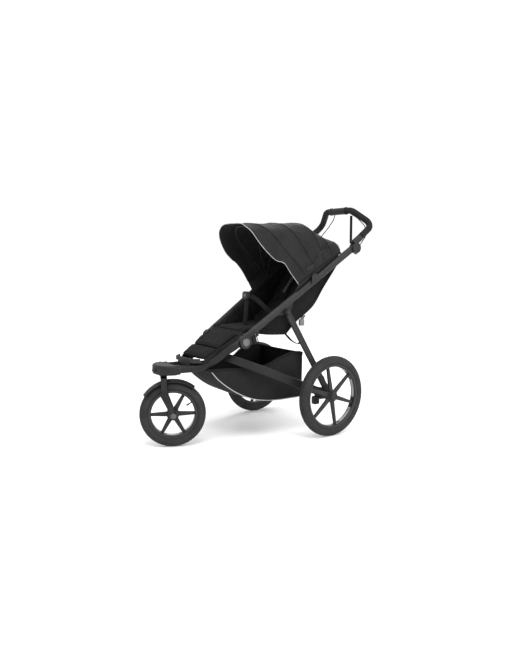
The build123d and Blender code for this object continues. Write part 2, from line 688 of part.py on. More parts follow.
SEAT_HALF, BACK_HALF = 139, 154
WING_TURN = degrees(atan2(RAIL_FLARE, 1))
with BuildPart() as seat_base:
    with BuildSketch(side_plane(0)):
        with BuildLine():
            Polyline((-396, 540), (-394, 516), (-330, 516), (-255, 507), (-160, 502), (-138, 512),
                     (-116, 534), (-122, 550), close=True)
        make_face()
        fillet(vertices(), 6)
    extrude(amount=SEAT_HALF, both=True)
seat_base.part.label = "seat_base"
export_step(seat_base.part, "parts/seat_base.step")

with BuildPart() as backrest:
    with BuildSketch(side_plane(0)):
        with BuildLine():
            Polyline((-102, 548), (-84, 562), (12, 634), (70, 710), (143, 808), (162, 842), (142, 853),
                     (112, 812), (46, 730), (0, 668), (-62, 606), (-112, 566), close=True)
        make_face()
        fillet(vertices(), 6)
    extrude(amount=BACK_HALF, both=True)
backrest.part.label = "backrest"
export_step(backrest.part, "parts/backrest.step")

with BuildPart() as seat_wings:
    for s in (1, -1):
        with BuildSketch(side_plane(s * 174, s * WING_TURN)):
            with BuildLine():
                Polyline((-345, 524), (-268, 512), (-172, 507), (-158, 513), (-101, 567), (-3, 638),
                         (60, 726), (125, 812), (150, 842), (152, 866), (-345, 536), close=True)
            make_face()
        extrude(amount=s * 3)
seat_wings.part.label = "seat_wings"
export_step(seat_wings.part, "parts/seat_wings.step")

with BuildPart() as crotch_pad:
    with BuildSketch(side_plane(-20)):
        with BuildLine():
            Polyline((-301, 545), (-289, 672), (-279, 672), (-288, 545), close=True)
        make_face()
    extrude(amount=40)
    fillet(crotch_pad.edges().filter_by(lambda e: e.length > 100), 4)
crotch_pad.part.label = "crotch_pad"
export_step(crotch_pad.part, "parts/crotch_pad.step")

BUCKLE = at(0, -283, 692)
with BuildPart() as harness_buckle:
    with BuildSketch(Plane(origin=BUCKLE, x_dir=(1, 0, 0), z_dir=(0, -1, 0.1))):
        RectangleRounded(48, 40, 14)
    extrude(amount=14)
    fillet(harness_buckle.faces().sort_by(Axis.Y)[0].edges(), 3)
    with BuildSketch(Plane(origin=BUCKLE, x_dir=(1, 0, 0), z_dir=(0, -1, 0.1)).offset(8)):
        Circle(10.3)
    extrude(amount=8, mode=Mode.SUBTRACT)
harness_buckle.part.label = "harness_buckle"
export_step(harness_buckle.part, "parts/harness_buckle.step")

with BuildPart() as buckle_button:
    with BuildSketch(Plane(origin=BUCKLE, x_dir=(1, 0, 0), z_dir=(0, -1, 0.1)).offset(11.5)):
        Circle(10)
    extrude(amount=4)
    fillet(buckle_button.faces().sort_by(Axis.Y)[0].edges(), 1)
buckle_button.part.label = "buckle_button"
export_step(buckle_button.part, "parts/buckle_button.step")

with BuildPart() as hip_straps:
    for s in (1, -1):
        with BuildSketch(Plane(origin=at(s * 26, -276, 690), x_dir=(0, 0, 1), z_dir=(s * 105, 150, -128))):
            RectangleRounded(24, 4, 1.5)
        extrude(amount=205)
hip_straps.part.label = "hip_straps"
export_step(hip_straps.part, "parts/hip_straps.step")

with BuildPart() as shoulder_straps:
    for s in (1, -1):
        with BuildSketch(Plane(origin=at(s * 50, 98, 806), x_dir=(1, 0, 0), z_dir=(0, -130, -160))):
            RectangleRounded(46, 12, 4)
        extrude(amount=190)
shoulder_straps.part.label = "shoulder_straps"
export_step(shoulder_straps.part, "parts/shoulder_straps.step")

with BuildPart() as fold_strap:
    with BuildLine() as centre:
        FilletPolyline(at(104, -130, 511), at(106, -108, 484), at(110, -82, 459), at(112, -42, 440),
                       at(114, -20, 458), radius=12)
    with BuildSketch(across(centre.line)):
        RectangleRounded(22, 3, 1)
    sweep()
fold_strap.part.label = "fold_strap"
export_step(fold_strap.part, "parts/fold_strap.step")

with BuildPart() as recline_buckle:
    with BuildSketch(side_plane(156)):
        with Locations((-62, 556)):
            RectangleRounded(26, 32, 6)
    extrude(amount=12)
    with BuildSketch(side_plane(158.5)):
        with BuildLine():
            Polyline((-70, 566), (-56, 592), (-38, 592), (-54, 566), close=True)
        make_face()
    extrude(amount=7)
recline_buckle.part.label = "recline_buckle"
export_step(recline_buckle.part, "parts/recline_buckle.step")

# ---------------------------------------------------------------- leg pad and footrest

PAD_SLOPE = atan2(528 - 413, 617 - 425)
pad_plane = Plane(origin=at(0, -425, 528), x_dir=(1, 0, 0), z_dir=(0, -sin(PAD_SLOPE), cos(PAD_SLOPE)))
PAD_LENGTH, PAD_SPLIT, PAD_THICK = 218, 130, 12


def pad_half(down):
    """Half the pad's width at this distance down it."""
    return 130 - 28 * down / PAD_LENGTH


for name, start, end in (("leg_pad", 0, PAD_SPLIT - 1), ("leg_flap", PAD_SPLIT, PAD_LENGTH - 4)):
    with BuildPart() as panel:
        with BuildSketch(pad_plane.offset(-PAD_THICK)):
            Polygon((pad_half(start), -start), (pad_half(end), -end), (-pad_half(end), -end),
                    (-pad_half(start), -start), align=None)
        extrude(amount=PAD_THICK)
        fillet(panel.edges().group_by(Axis((0, 0, 0), pad_plane.z_dir))[-1], 4)
    panel.part.label = name
    export_step(panel.part, f"parts/{name}.step")

FOOTREST_Z = 394
with BuildPart() as footrest:
    with BuildSketch(Plane(origin=at(0, 0, FOOTREST_Z), x_dir=(1, 0, 0))):
        with BuildLine():
            Polyline((97, -604), (98, -622), (70, -652), (-70, -652), (-98, -622), (-97, -604), close=True)
        make_face()
        fillet(vertices().filter_by(lambda v: v.Y < -610), 16)
    extrude(amount=6)
    with BuildSketch(Plane(origin=at(0, 0, FOOTREST_Z), x_dir=(1, 0, 0))):
        with BuildLine():
            Polyline((98, -616), (98, -622), (70, -652), (-70, -652), (-98, -622), (-98, -616), (-92, -616),
                     (-92, -620), (-67, -646), (67, -646), (92, -620), (92, -616), close=True)
        make_face()
    extrude(amount=20)
    with Locations(at(0, -648.5, FOOTREST_Z - 5)):
        Box(104, 7, 14)
footrest.part.label = "footrest"
export_step(footrest.part, "parts/footrest.step")

# ---------------------------------------------------------------- canopy

CANOPY_WALL = 3


def canopy_arch(inset):
    """The canopy's outline seen from the front, this far inside its outer face."""
    with BuildSketch(Plane(origin=at(0, 260, 0), x_dir=(1, 0, 0), z_dir=(0, -1, 0))) as outline:
        with BuildLine():
            Line((-216 + inset, 700), (216 - inset, 700))
            Line((216 - inset, 700), (216 - inset, 745))
            Spline((216 - inset, 745), (207 - inset, 820), (194 - inset, 868), (176 - inset, 922),
                   (150 - inset, 990 - inset), (100, 1036 - inset), (0, 1054 - inset), (-100, 1036 - inset),
                   (inset - 150, 990 - inset), (inset - 176, 922), (inset - 194, 868), (inset - 207, 820),
                   (inset - 216, 745))
            Line((-216 + inset, 745), (-216 + inset, 700))
        make_face()
    return outline.sketch


def canopy_side(inset, past):
    """The canopy's outline seen from the side. past carries it on beyond the open front and foot."""
    with BuildSketch(side_plane(0)) as outline:
        with BuildLine():
            Polyline(
                (-125 - past, 750 - past), (-211 - past, 850), (-247 - past, 868), (-312 - past, 934),
                (-352 - past, 1000), (-374 - past, 1060), (-100, 1060 - inset), (8, 1058 - inset),
                (66 - inset, 1020 - inset), (160 - inset, 972 - inset), (206 - inset, 917 - inset),
                (192 - inset, 897), (150, 903 - past), close=True,
            )
        make_face()
    return outline.sketch


def canopy_solid(inset, past):
    with BuildPart() as solid:
        extrude(canopy_arch(inset), amount=700)
        extrude(canopy_side(inset, past), amount=230, both=True, mode=Mode.INTERSECT)
    return solid.part


canopy_inside = canopy_solid(CANOPY_WALL, 40)
with BuildPart() as canopy:
    add(canopy_solid(0, 0))
    add(canopy_inside, mode=Mode.SUBTRACT)
canopy.part.label = "canopy"
export_step(canopy.part, "parts/canopy.step")

BOW_SHAPE = ((790, 0), (868, 11), (922, 29.5), (967, 52))  # height, and how far inside its foot the bow is

# Each bow turns about the canopy hinge, one nested inside the next
# Each bow's name, its lean from level in degrees, its foot's x and its reach to the top
CANOPY_BOWS = (("canopy_front_bow", 140.5, 195, 388), ("canopy_middle_bow", 117, 188.5, 283),
               ("canopy_rear_bow", 84, 182, 252))
for name, angle, foot_x, reach in CANOPY_BOWS:
    a = radians(angle)
    bow_plane = Plane(origin=at(0, *CANOPY_HINGE), x_dir=(1, 0, 0), z_dir=(0, -sin(a), cos(a)))
    half = [(foot_x - inward, (z - CANOPY_HINGE[1]) / sin(a)) for z, inward in BOW_SHAPE]
    with BuildPart() as bow:
        with BuildSketch(bow_plane):
            with BuildLine():
                Spline(*mirrored(half + [(0, reach)]))
            trace(line_width=5)
        extrude(amount=4, both=True)
        for s in (1, -1):
            barrel(s * (foot_x - 2.5), s * (foot_x + 2.5), *CANOPY_HINGE, 8)
            barrel(s * (foot_x - 4), s * (foot_x + 4), *CANOPY_HINGE, 4 + CLEARANCE, mode=Mode.SUBTRACT)
    bow.part.label = name
    export_step(bow.part, f"parts/{name}.step")

with BuildPart() as canopy_clips:
    for s in (1, -1):
        with BuildSketch(side_plane(s * 204.2)):
            with BuildLine():
                Polyline((-36, 752), (-34, 790), (-6, 803), (6, 790), (2, 778), close=True)
            make_face()
            with Locations(CANOPY_HINGE):
                Circle(13)
        extrude(amount=s * 5)
        barrel(s * 176, s * 205, *CANOPY_HINGE, 4)
canopy_clips.part.label = "canopy_clips"
export_step(canopy_clips.part, "parts/canopy_clips.step")

# ---------------------------------------------------------------- basket

BASKET_WALL = 4


def basket_side(inset, rise):
    """The basket's outline seen from the side. rise lifts its open top."""
    with BuildSketch(side_plane(0)) as outline:
        with BuildLine():
            Spline((-573 + inset, 356), (-535 + inset, 311 + inset * 0.6), (-480, 266 + inset),
                   (-420, 229 + inset), (-350, 199 + inset), (-270, 184 + inset), (-190, 180 + inset),
                   (-74 - inset, 181 + inset))
            Line((-74 - inset, 181 + inset), (-56 - inset, 399))
            Line((-56 - inset, 399), (-56 - inset, 400 + rise))
            Line((-56 - inset, 400 + rise), (-110, 412 + rise))
            Line((-110, 412 + rise), (-190, 392 + rise))
            Line((-190, 392 + rise), (-300, 350 + rise))
            Line((-300, 350 + rise), (-573 + inset, 358 + rise))
            Line((-573 + inset, 358 + rise), (-573 + inset, 356))
        make_face()
    return outline.sketch


def basket_plan(inset):
    with BuildSketch(Plane(origin=at(0, 0, 150), x_dir=(1, 0, 0))) as outline:
        Polygon((-126 + inset, -574), (126 - inset, -574), (142 - inset, -440), (176 - inset, -56),
                (inset - 176, -56), (inset - 142, -440), align=None)
    return outline.sketch


def basket_solid(inset, rise):
    with BuildPart() as solid:
        extrude(basket_side(inset, rise), amount=190, both=True)
        extrude(basket_plan(inset), amount=330, mode=Mode.INTERSECT)
    return solid.part


basket_inside = basket_solid(BASKET_WALL, 20)
with BuildPart() as basket:
    add(basket_solid(0, 0))
    add(basket_inside, mode=Mode.SUBTRACT)
basket.part.label = "basket"
export_step(basket.part, "parts/basket.step")
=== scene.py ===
"""The looks of a folding three-wheeled jogging stroller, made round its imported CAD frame.

Points given in millimetres are written from the rear axle: x to the stroller's left, y rearwards, z up
from the floor. at() moves them into the row frame, in metres.
"""

import json
import math

import bmesh
import bpy
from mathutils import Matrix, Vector, noise


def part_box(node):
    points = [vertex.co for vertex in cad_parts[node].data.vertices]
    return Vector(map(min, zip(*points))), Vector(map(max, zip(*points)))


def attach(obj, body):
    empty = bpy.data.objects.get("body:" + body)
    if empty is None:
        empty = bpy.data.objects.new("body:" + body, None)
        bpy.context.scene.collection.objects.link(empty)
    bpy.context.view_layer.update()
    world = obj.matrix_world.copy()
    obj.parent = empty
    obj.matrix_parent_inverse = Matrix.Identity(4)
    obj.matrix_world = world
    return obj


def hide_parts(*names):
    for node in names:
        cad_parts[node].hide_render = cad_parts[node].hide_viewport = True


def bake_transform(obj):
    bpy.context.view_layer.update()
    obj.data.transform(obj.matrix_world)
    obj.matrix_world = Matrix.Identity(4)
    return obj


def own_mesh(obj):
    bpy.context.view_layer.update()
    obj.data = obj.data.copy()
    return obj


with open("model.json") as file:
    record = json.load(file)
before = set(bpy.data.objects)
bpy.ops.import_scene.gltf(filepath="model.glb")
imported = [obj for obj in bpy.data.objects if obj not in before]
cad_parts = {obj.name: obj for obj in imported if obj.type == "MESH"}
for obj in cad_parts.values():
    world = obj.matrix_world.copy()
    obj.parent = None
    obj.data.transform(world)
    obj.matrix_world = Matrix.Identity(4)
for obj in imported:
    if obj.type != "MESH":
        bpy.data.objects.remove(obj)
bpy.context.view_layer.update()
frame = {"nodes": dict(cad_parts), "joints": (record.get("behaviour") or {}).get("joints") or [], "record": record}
JOINTS = {joint["name"]: joint for joint in frame["joints"]}
AXLE_Y = JOINTS["rear_wheel_spin_left"]["pos_m"][1]
SIDES = (("left", 1), ("right", -1))
MM = 0.001
ACROSS, UP = Vector((1, 0, 0)), Vector((0, 0, 1))


def at(x, y, z):
    return Vector((x * MM, y * MM + AXLE_Y, z * MM))


# ---------------------------------------------------------------- camera, stage and light


CAMERA_PLACE, CAMERA_TARGET = at(2603, -2100, 888), at(241, -378, 570)
CAMERA_LENS, CAMERA_SENSOR = 35.06, 36  # both in millimetres


def aimed(thing, place, target):
    bpy.context.scene.collection.objects.link(thing)
    thing.location = place
    thing.rotation_euler = (target - place).to_track_quat("-Z", "Y").to_euler()


def make_camera():
    data = bpy.data.cameras.new("camera")
    data.lens, data.sensor_width = CAMERA_LENS, CAMERA_SENSOR
    camera = bpy.data.objects.new("camera", data)
    aimed(camera, CAMERA_PLACE, CAMERA_TARGET)
    bpy.context.scene.camera = camera


def area_light(name, place, target, size, power):
    data = bpy.data.lights.new(name, "AREA")
    data.shape, data.size, data.energy = "DISK", size, power
    aimed(bpy.data.objects.new(name, data), place, target)


FLOOR_HALF = 30  # metres
WHITE = (1, 1, 1, 1)


def make_stage():
    mesh = bpy.data.meshes.new("floor")
    corners = [(x * FLOOR_HALF, y * FLOOR_HALF, 0) for x, y in ((-1, -1), (1, -1), (1, 1), (-1, 1))]
    mesh.from_pydata(corners, [], [(0, 1, 2, 3)])
    floor = bpy.data.objects.new("floor", mesh)
    bpy.context.scene.collection.objects.link(floor)
    pale = bpy.data.materials.new("pale_floor")
    pale.use_nodes = True
    shader = pale.node_tree.nodes["Principled BSDF"]
    shader.inputs["Base Color"].default_value = (0.90, 0.90, 0.90, 1)
    shader.inputs["Roughness"].default_value = 0.9
    shader.inputs["Specular IOR Level"].default_value = 0.1
    shader.inputs["Emission Color"].default_value = WHITE
    shader.inputs["Emission Strength"].default_value = 0.08
    mesh.materials.append(pale)
    world = bpy.data.worlds.new("studio")
    world.use_nodes = True
    world.node_tree.nodes["Background"].inputs["Color"].default_value = WHITE
    world.node_tree.nodes["Background"].inputs["Strength"].default_value = 1.05
    scene = bpy.context.scene
    scene.world = world
    scene.view_settings.view_transform = "Standard"
    middle = at(0, -250, 500)
    area_light("key", at(1500, -1400, 3200), middle, 2.2, 70)
    area_light("side", at(3400, 700, 1700), middle, 1.6, 40)
    area_light("back", at(-1800, 2200, 2400), middle, 1.8, 40)


make_camera()
make_stage()

# ---------------------------------------------------------------- materials


class Paint:
    """One material's nodes: a Principled shader, whose inputs are joined to procedural textures."""

    def __init__(self, name, rough, metallic=0.0, specular=0.5):
        self.material = bpy.data.materials.new(name)
        self.material.use_nodes = True
        self.tree = self.material.node_tree
        self.shader = self.tree.nodes["Principled BSDF"]
        self.shader.inputs["Roughness"].default_value = rough
        self.shader.inputs["Metallic"].default_value = metallic
        self.shader.inputs["Specular IOR Level"].default_value = specular
        self.place = self.tree.nodes.new("ShaderNodeTexCoord").outputs["Object"]
        self.height = None

    def link(self, a, b):
        self.tree.links.new(a, b)

    def noise(self, scale, detail=3, rough=0.55):
        node = self.tree.nodes.new("ShaderNodeTexNoise")
        node.inputs["Scale"].default_value = scale
        node.inputs["Detail"].default_value = detail
        node.inputs["Roughness"].default_value = rough
        self.link(self.place, node.inputs["Vector"])
        return node.outputs["Fac"]

    def cells(self, scale):
        node = self.tree.nodes.new("ShaderNodeTexVoronoi")
        node.inputs["Scale"].default_value = scale
        self.link(self.place, node.inputs["Vector"])
        return node.outputs["Distance"]

    def math(self, operation, a, b=None):
        node = self.tree.nodes.new("ShaderNodeMath")
        node.operation = operation
        for socket, value in zip(node.inputs, (a, b)):
            if isinstance(value, (int, float)):
                socket.default_value = value
            elif value is not None:
                self.link(value, socket)
        return node.outputs[0]

    def spread(self, value, low, high, new_low, new_high):
        node = self.tree.nodes.new("ShaderNodeMapRange")
        for socket, number in zip(list(node.inputs)[1:5], (low, high, new_low, new_high)):
            socket.default_value = number
        self.link(value, node.inputs["Value"])
        return node.outputs["Result"]

    def threads(self, direction, pitch):
        """Stripes across a direction, pitch metres apart, from 0 to 1."""
        dot = self.tree.nodes.new("ShaderNodeVectorMath")
        dot.operation = "DOT_PRODUCT"
        dot.inputs[1].default_value = Vector(direction).normalized() * (2 * math.pi / pitch)
        self.link(self.place, dot.inputs[0])
        return self.spread(self.math("SINE", dot.outputs["Value"]), -1, 1, 0, 1)

    def colour(self, fac, low, high):
        """The base colour, from low to high as fac goes from 0.3 to 0.7."""
        node = self.tree.nodes.new("ShaderNodeValToRGB")
        node.color_ramp.elements[0].position = 0.3
        node.color_ramp.elements[0].color = (*low, 1)
        node.color_ramp.elements[1].position = 0.7
        node.color_ramp.elements[1].color = (*high, 1)
        self.link(fac, node.inputs["Fac"])
        self.link(node.outputs["Color"], self.shader.inputs["Base Color"])
        return node

    def wear(self, ramp, colour, amount):
        """Lightens the edges, where hands and knocks rub the finish."""
        edge = self.tree.nodes.new("ShaderNodeNewGeometry").outputs["Pointiness"]
        rubbed = self.math("MULTIPLY", self.spread(edge, 0.52, 0.60, 0, amount), self.noise(90, 4))
        mix = self.tree.nodes.new("ShaderNodeMixRGB")
        mix.inputs["Color2"].default_value = (*colour, 1)
        self.link(rubbed, mix.inputs["Fac"])
        self.link(ramp.outputs["Color"], mix.inputs["Color1"])
        self.link(mix.outputs["Color"], self.shader.inputs["Base Color"])

    def rough(self, value, low, high):
        self.link(self.spread(value, 0.3, 0.7, low, high), self.shader.inputs["Roughness"])

    def bump(self, height, distance, strength=1.0):
        node = self.tree.nodes.new("ShaderNodeBump")
        node.inputs["Strength"].default_value = strength
        node.inputs["Distance"].default_value = distance
        self.link(height, node.inputs["Height"])
        if self.height is not None:
            self.link(self.height, node.inputs["Normal"])
        self.height = node.outputs["Normal"]
        self.link(self.height, self.shader.inputs["Normal"])


def grey(level):
    return (level, level, level)


def painted_frame():
    """Charcoal powder coat with a fine metallic fleck."""
    paint = Paint("charcoal_paint", 0.46, 0.0, 0.22)
    fleck = paint.noise(2200, 2)
    ramp = paint.colour(paint.math("ADD", paint.math("MULTIPLY", paint.noise(7), 0.6),
                                   paint.math("MULTIPLY", fleck, 0.4)), grey(0.007), grey(0.012))
    paint.wear(ramp, grey(0.06), 0.5)
    paint.rough(paint.noise(35, 4), 0.40, 0.52)
    paint.bump(fleck, 0.00004)
    return paint.material


def moulded(name, low, high, rough_low, rough_high, grain=0.00006):
    """Moulded plastic with spark-eroded grain, rubbed lighter on its edges."""
    paint = Paint(name, rough_high, 0, 0.22)
    ramp = paint.colour(paint.noise(11, 4), low, high)
    paint.wear(ramp, tuple(3 * c for c in high), 0.35)
    paint.rough(paint.noise(55, 4), rough_low, rough_high)
    paint.bump(paint.cells(1300), grain)
    paint.bump(paint.noise(420, 3), grain)
    return paint.material


def rubber(name, low, high, rough_low, rough_high, scale):
    """Rubber or foam: dull, with a faint bloom and small pores."""
    paint = Paint(name, rough_high, 0, 0.18)
    paint.colour(paint.noise(16, 5), low, high)
    paint.rough(paint.noise(70, 4), rough_low, rough_high)
    paint.bump(paint.cells(scale), 0.00012)
    paint.bump(paint.noise(90, 3), 0.0003, 0.5)
    return paint.material


def woven(name, low, high, pitch, relief, rough=0.8, sheen=0.25, creases=0.0012):
    """Woven cloth: two sets of threads, uneven dyeing with painted shade between the threads, and soft creases."""
    paint = Paint(name, rough, 0, 0.08)
    paint.shader.inputs["Sheen Weight"].default_value = sheen
    paint.shader.inputs["Sheen Roughness"].default_value = 0.5
    paint.shader.inputs["Sheen Tint"].default_value = (0.3, 0.3, 0.31, 1)
    over = paint.threads((0.62, 0.72, 0.30), pitch)
    under = paint.threads((-0.55, 0.25, 0.80), pitch)
    weave = paint.math("MAXIMUM", over, under)
    # Colour: random tone from the dyeing, plus painted shade where the weave dips between threads.
    dye_and_weave_shade = paint.math("ADD", paint.math("MULTIPLY", paint.noise(14, 4), 0.75),
                     paint.math("MULTIPLY", weave, 0.25))
    paint.colour(dye_and_weave_shade, low, high)
    paint.rough(paint.noise(60, 3), rough - 0.08, rough + 0.08)
    paint.bump(weave, relief)
    paint.bump(paint.noise(600, 2), relief * 0.6)
    paint.bump(paint.noise(22, 4), creases, 0.6)
    return paint.material


def knitted(name, low, high, pitch):
    """Knitted mesh: small round holes in staggered rows, with painted shade darkening the holes."""
    paint = Paint(name, 0.85, 0, 0.08)
    paint.shader.inputs["Sheen Weight"].default_value = 0.02
    rows = [paint.threads(way, pitch) for way in ((0.2, 1, 0.15), (0.6, -0.2, 1), (1, 0.3, -0.5))]
    holes = paint.math("MULTIPLY", paint.math("MULTIPLY", rows[0], rows[1]), paint.math("ADD", rows[2], 0.3))
    # The holes are coloured darker: painted shade in the knit's holes, on top of random tone.
    paint.colour(paint.math("ADD", paint.math("MULTIPLY", paint.noise(12, 4), 0.7),
                            paint.math("MULTIPLY", holes, 0.4)), high, low)
    paint.bump(holes, -0.0004)
    paint.bump(paint.noise(18, 4), 0.0015, 0.6)
    return paint.material


def metal(name, low, high, rough_low, rough_high):
    """Bare turned or plated metal with fine rings and smears."""
    paint = Paint(name, rough_high, 1.0, 0.5)
    paint.colour(paint.noise(30, 5), low, high)
    paint.rough(paint.noise(120, 4), rough_low, rough_high)
    paint.bump(paint.threads((1, 0, 0), 0.0007), 0.00003)
    return paint.material


def reflective_tape():
    """Silver tape, pressed in small cells."""
    paint = Paint("silver_tape", 0.35, 0.55, 0.5)
    paint.colour(paint.noise(40, 4), grey(0.32), grey(0.44))
    paint.rough(paint.noise(200, 2), 0.28, 0.42)
    paint.bump(paint.cells(900), 0.00005)
    return paint.material


FINISHES = {
    "frame_paint": painted_frame(),
    "black_plastic": moulded("black_moulding", grey(0.010), grey(0.017), 0.42, 0.58),
    "grey_plastic": moulded("grey_moulding", grey(0.085), grey(0.12), 0.38, 0.5),
    "rim_plastic": moulded("rim_moulding", grey(0.013), grey(0.021), 0.30, 0.42, 0.00003),
    "tyre_rubber": rubber("tyre_rubber", grey(0.017), grey(0.029), 0.62, 0.8, 700),
    "steel": metal("dark_steel", grey(0.10), grey(0.17), 0.3, 0.45),
    "valve_metal": metal("black_valve", grey(0.03), grey(0.05), 0.3, 0.45),
    "foam": rubber("grip_foam", grey(0.008), grey(0.014), 0.7, 0.85, 1500),
    "cable_sleeve": rubber("cable_sleeve", grey(0.007), grey(0.012), 0.4, 0.55, 900),
    "canopy_fabric": woven("canopy_cloth", grey(0.012), grey(0.019), 0.0011, 0.00012, 0.72, 0.06),
    "seat_fabric": woven("seat_cloth", grey(0.007), grey(0.012), 0.0014, 0.00016, 0.82, 0.04),
    "mesh_fabric": knitted("basket_mesh", grey(0.009), grey(0.016), 0.0045),
    "webbing": woven("webbing", grey(0.006), grey(0.011), 0.0020, 0.00030, 0.7, 0.05, 0.0004),
    "grey_webbing": woven("grey_webbing", grey(0.05), grey(0.08), 0.0020, 0.00030, 0.7, 0.1, 0.0004),
    "reflective": reflective_tape(),
}


def finish(piece, slot):
    """Gives a piece the finish of one of the record's material slots."""
    piece.data.materials.clear()
    piece.data.materials.append(FINISHES[slot])


for subpart in frame["record"]["subparts"]:
    node = frame["nodes"][subpart["node"]]
    node.data.materials.clear()
    node.data.materials.append(FINISHES[subpart["material_slot"]])

# ---------------------------------------------------------------- mesh helpers


def spline(points, steps):
    """A smooth curve through points, with steps spans from each point to the next."""
    padded = [2 * points[0] - points[1], *points, 2 * points[-1] - points[-2]]
    line = []
    for a, b, c, d in zip(padded, padded[1:], padded[2:], padded[3:]):
        for t in (k / steps for k in range(steps)):
            line.append(0.5 * ((2 * b) + (c - a) * t + (2 * a - 5 * b + 4 * c - d) * t * t
                               + (3 * b - a - 3 * c + d) * t ** 3))
    return line + [points[-1]]


def curve_through(points, count):
    """count evenly spaced points on a smooth curve through the given ones."""
    dense = spline(points, 12)
    reach = [0.0]
    for a, b in zip(dense, dense[1:]):
        reach.append(reach[-1] + (b - a).length)
    found, i = [], 0
    for k in range(count):
        want = reach[-1] * k / (count - 1)
        while i < len(reach) - 2 and reach[i + 1] < want:
            i += 1
        share = (want - reach[i]) / max(reach[i + 1] - reach[i], 1e-9)
        found.append(dense[i].lerp(dense[i + 1], min(max(share, 0), 1)))
    return found


def new_piece(name, vertices, faces, smooth=True):
    mesh = bpy.data.meshes.new(name)
    mesh.from_pydata([tuple(v) for v in vertices], [], faces)
    mesh.validate()
    shape = bmesh.new()
    shape.from_mesh(mesh)
    bmesh.ops.remove_doubles(shape, verts=shape.verts, dist=0.00005)
    bmesh.ops.recalc_face_normals(shape, faces=shape.faces)
    for face in shape.faces:
        face.smooth = smooth
    shape.to_mesh(mesh)
    shape.free()
    piece = bpy.data.objects.new(name, mesh)
    bpy.context.scene.collection.objects.link(piece)
    return piece


def grid(name, rows):
    """A sheet through rows of points, each row as long as the others."""
    wide = len(rows[0])
    faces = [(i * wide + j, i * wide + j + 1, (i + 1) * wide + j + 1, (i + 1) * wide + j)
             for i in range(len(rows) - 1) for j in range(wide - 1)]
    return new_piece(name, [p for row in rows for p in row], faces)


def applied(piece):
    """Applies every modifier, so that the piece's own mesh is its final shape."""
    graph = bpy.context.evaluated_depsgraph_get()
    mesh = bpy.data.meshes.new_from_object(piece.evaluated_get(graph))
    piece.modifiers.clear()
    old = piece.data
    piece.data = mesh
    bpy.data.meshes.remove(old)
    return piece


def thicken(piece, thickness):
    """Smooths a sheet and gives it a thickness, half to each side."""
    smoothing = piece.modifiers.new("smooth", "SUBSURF")
    smoothing.levels = smoothing.render_levels = 1
    wall = piece.modifiers.new("wall", "SOLIDIFY")
    wall.thickness, wall.offset = thickness, 0
    return applied(piece)


def swept(name, path, section, side=None):
    """A closed bar: section, a ring of (across, out) offsets in metres, carried along a path.

    side is the section's across direction. Without one, the section turns with the path."""
    rings = []
    across = None
    for i, point in enumerate(path):
        run = (path[min(i + 1, len(path) - 1)] - path[max(i - 1, 0)]).normalized()
        if side is None:
            guess = across if across is not None else run.orthogonal()
        else:
            guess = side
        across = (guess - run * guess.dot(run)).normalized()
        out = run.cross(across)
        rings.append([point + across * a + out * b for a, b in section])
    wide = len(section)
    faces = [(i * wide + j, i * wide + (j + 1) % wide, (i + 1) * wide + (j + 1) % wide, (i + 1) * wide + j)
             for i in range(len(rings) - 1) for j in range(wide)]
    faces += [tuple(range(wide)), tuple((len(rings) - 1) * wide + j for j in reversed(range(wide)))]
    return new_piece(name, [p for ring in rings for p in ring], faces)


def round_section(radius, sides=10):
    return [(radius * math.cos(2 * math.pi * k / sides), radius * math.sin(2 * math.pi * k / sides))
            for k in range(sides)]


def flat_section(width, thick):
    """A strap's section, with its selvedges a little rounded and its middle a little ribbed."""
    half, edge = width / 2, thick / 2
    top = [(-half + edge, edge), (-half * 0.5, edge * 1.1), (0, edge * 0.9), (half * 0.5, edge * 1.1),
           (half - edge, edge)]
    return [(-half, 0), *top, (half, 0), *[(a, -b) for a, b in reversed(top)]]


def joined(name, pieces):
    """Several loose shells as one piece."""
    shape = bmesh.new()
    for piece in pieces:
        shape.from_mesh(piece.data)
    mesh = bpy.data.meshes.new(name)
    shape.to_mesh(mesh)
    shape.free()
    for piece in pieces:
        old = piece.data
        bpy.data.objects.remove(piece)
        bpy.data.meshes.remove(old)
    whole = bpy.data.objects.new(name, mesh)
    bpy.context.scene.collection.objects.link(whole)
    return whole


def place_piece(piece, body, slot, *nodes):
    finish(piece, slot)
    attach(piece, body)
    if nodes:
        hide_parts(*nodes)


def waves(point, scale, seed=0.0):
    """Smooth noise from -1 to 1 at a point."""
    return noise.noise(Vector(point) * scale + Vector((seed, seed, seed)))


def inflate(piece, voxel, pressure, cap):
    """Cloth under pressure: the pad swells between its edges, and no point moves further than cap.

    voxel and cap are in metres."""
    remesh = piece.modifiers.new("even", "REMESH")
    remesh.mode, remesh.voxel_size = "VOXEL", voxel
    applied(piece)
    rest = [v.co.copy() for v in piece.data.vertices]
    cloth = piece.modifiers.new("cloth", "CLOTH")
    cloth.settings.use_pressure = True
    cloth.settings.uniform_pressure_force = pressure
    cloth.settings.effector_weights.gravity = 0
    cloth.settings.tension_stiffness = cloth.settings.compression_stiffness = 12
    cloth.settings.quality = 4
    scene = bpy.context.scene
    for step in range(1, 19):
        scene.frame_set(step)
    graph = bpy.context.evaluated_depsgraph_get()
    swollen = [v.co.copy() for v in piece.evaluated_get(graph).data.vertices]
    piece.modifiers.clear()
    scene.frame_set(1)
    for vertex, start, end in zip(piece.data.vertices, rest, swollen):
        move = end - start
        vertex.co = start + move * min(1, cap / max(move.length, 1e-9))
    return piece


def subdivided(piece):
    finer = piece.modifiers.new("finer", "SUBSURF")
    finer.levels = finer.render_levels = 1
    return applied(piece)


# ---------------------------------------------------------------- canopy

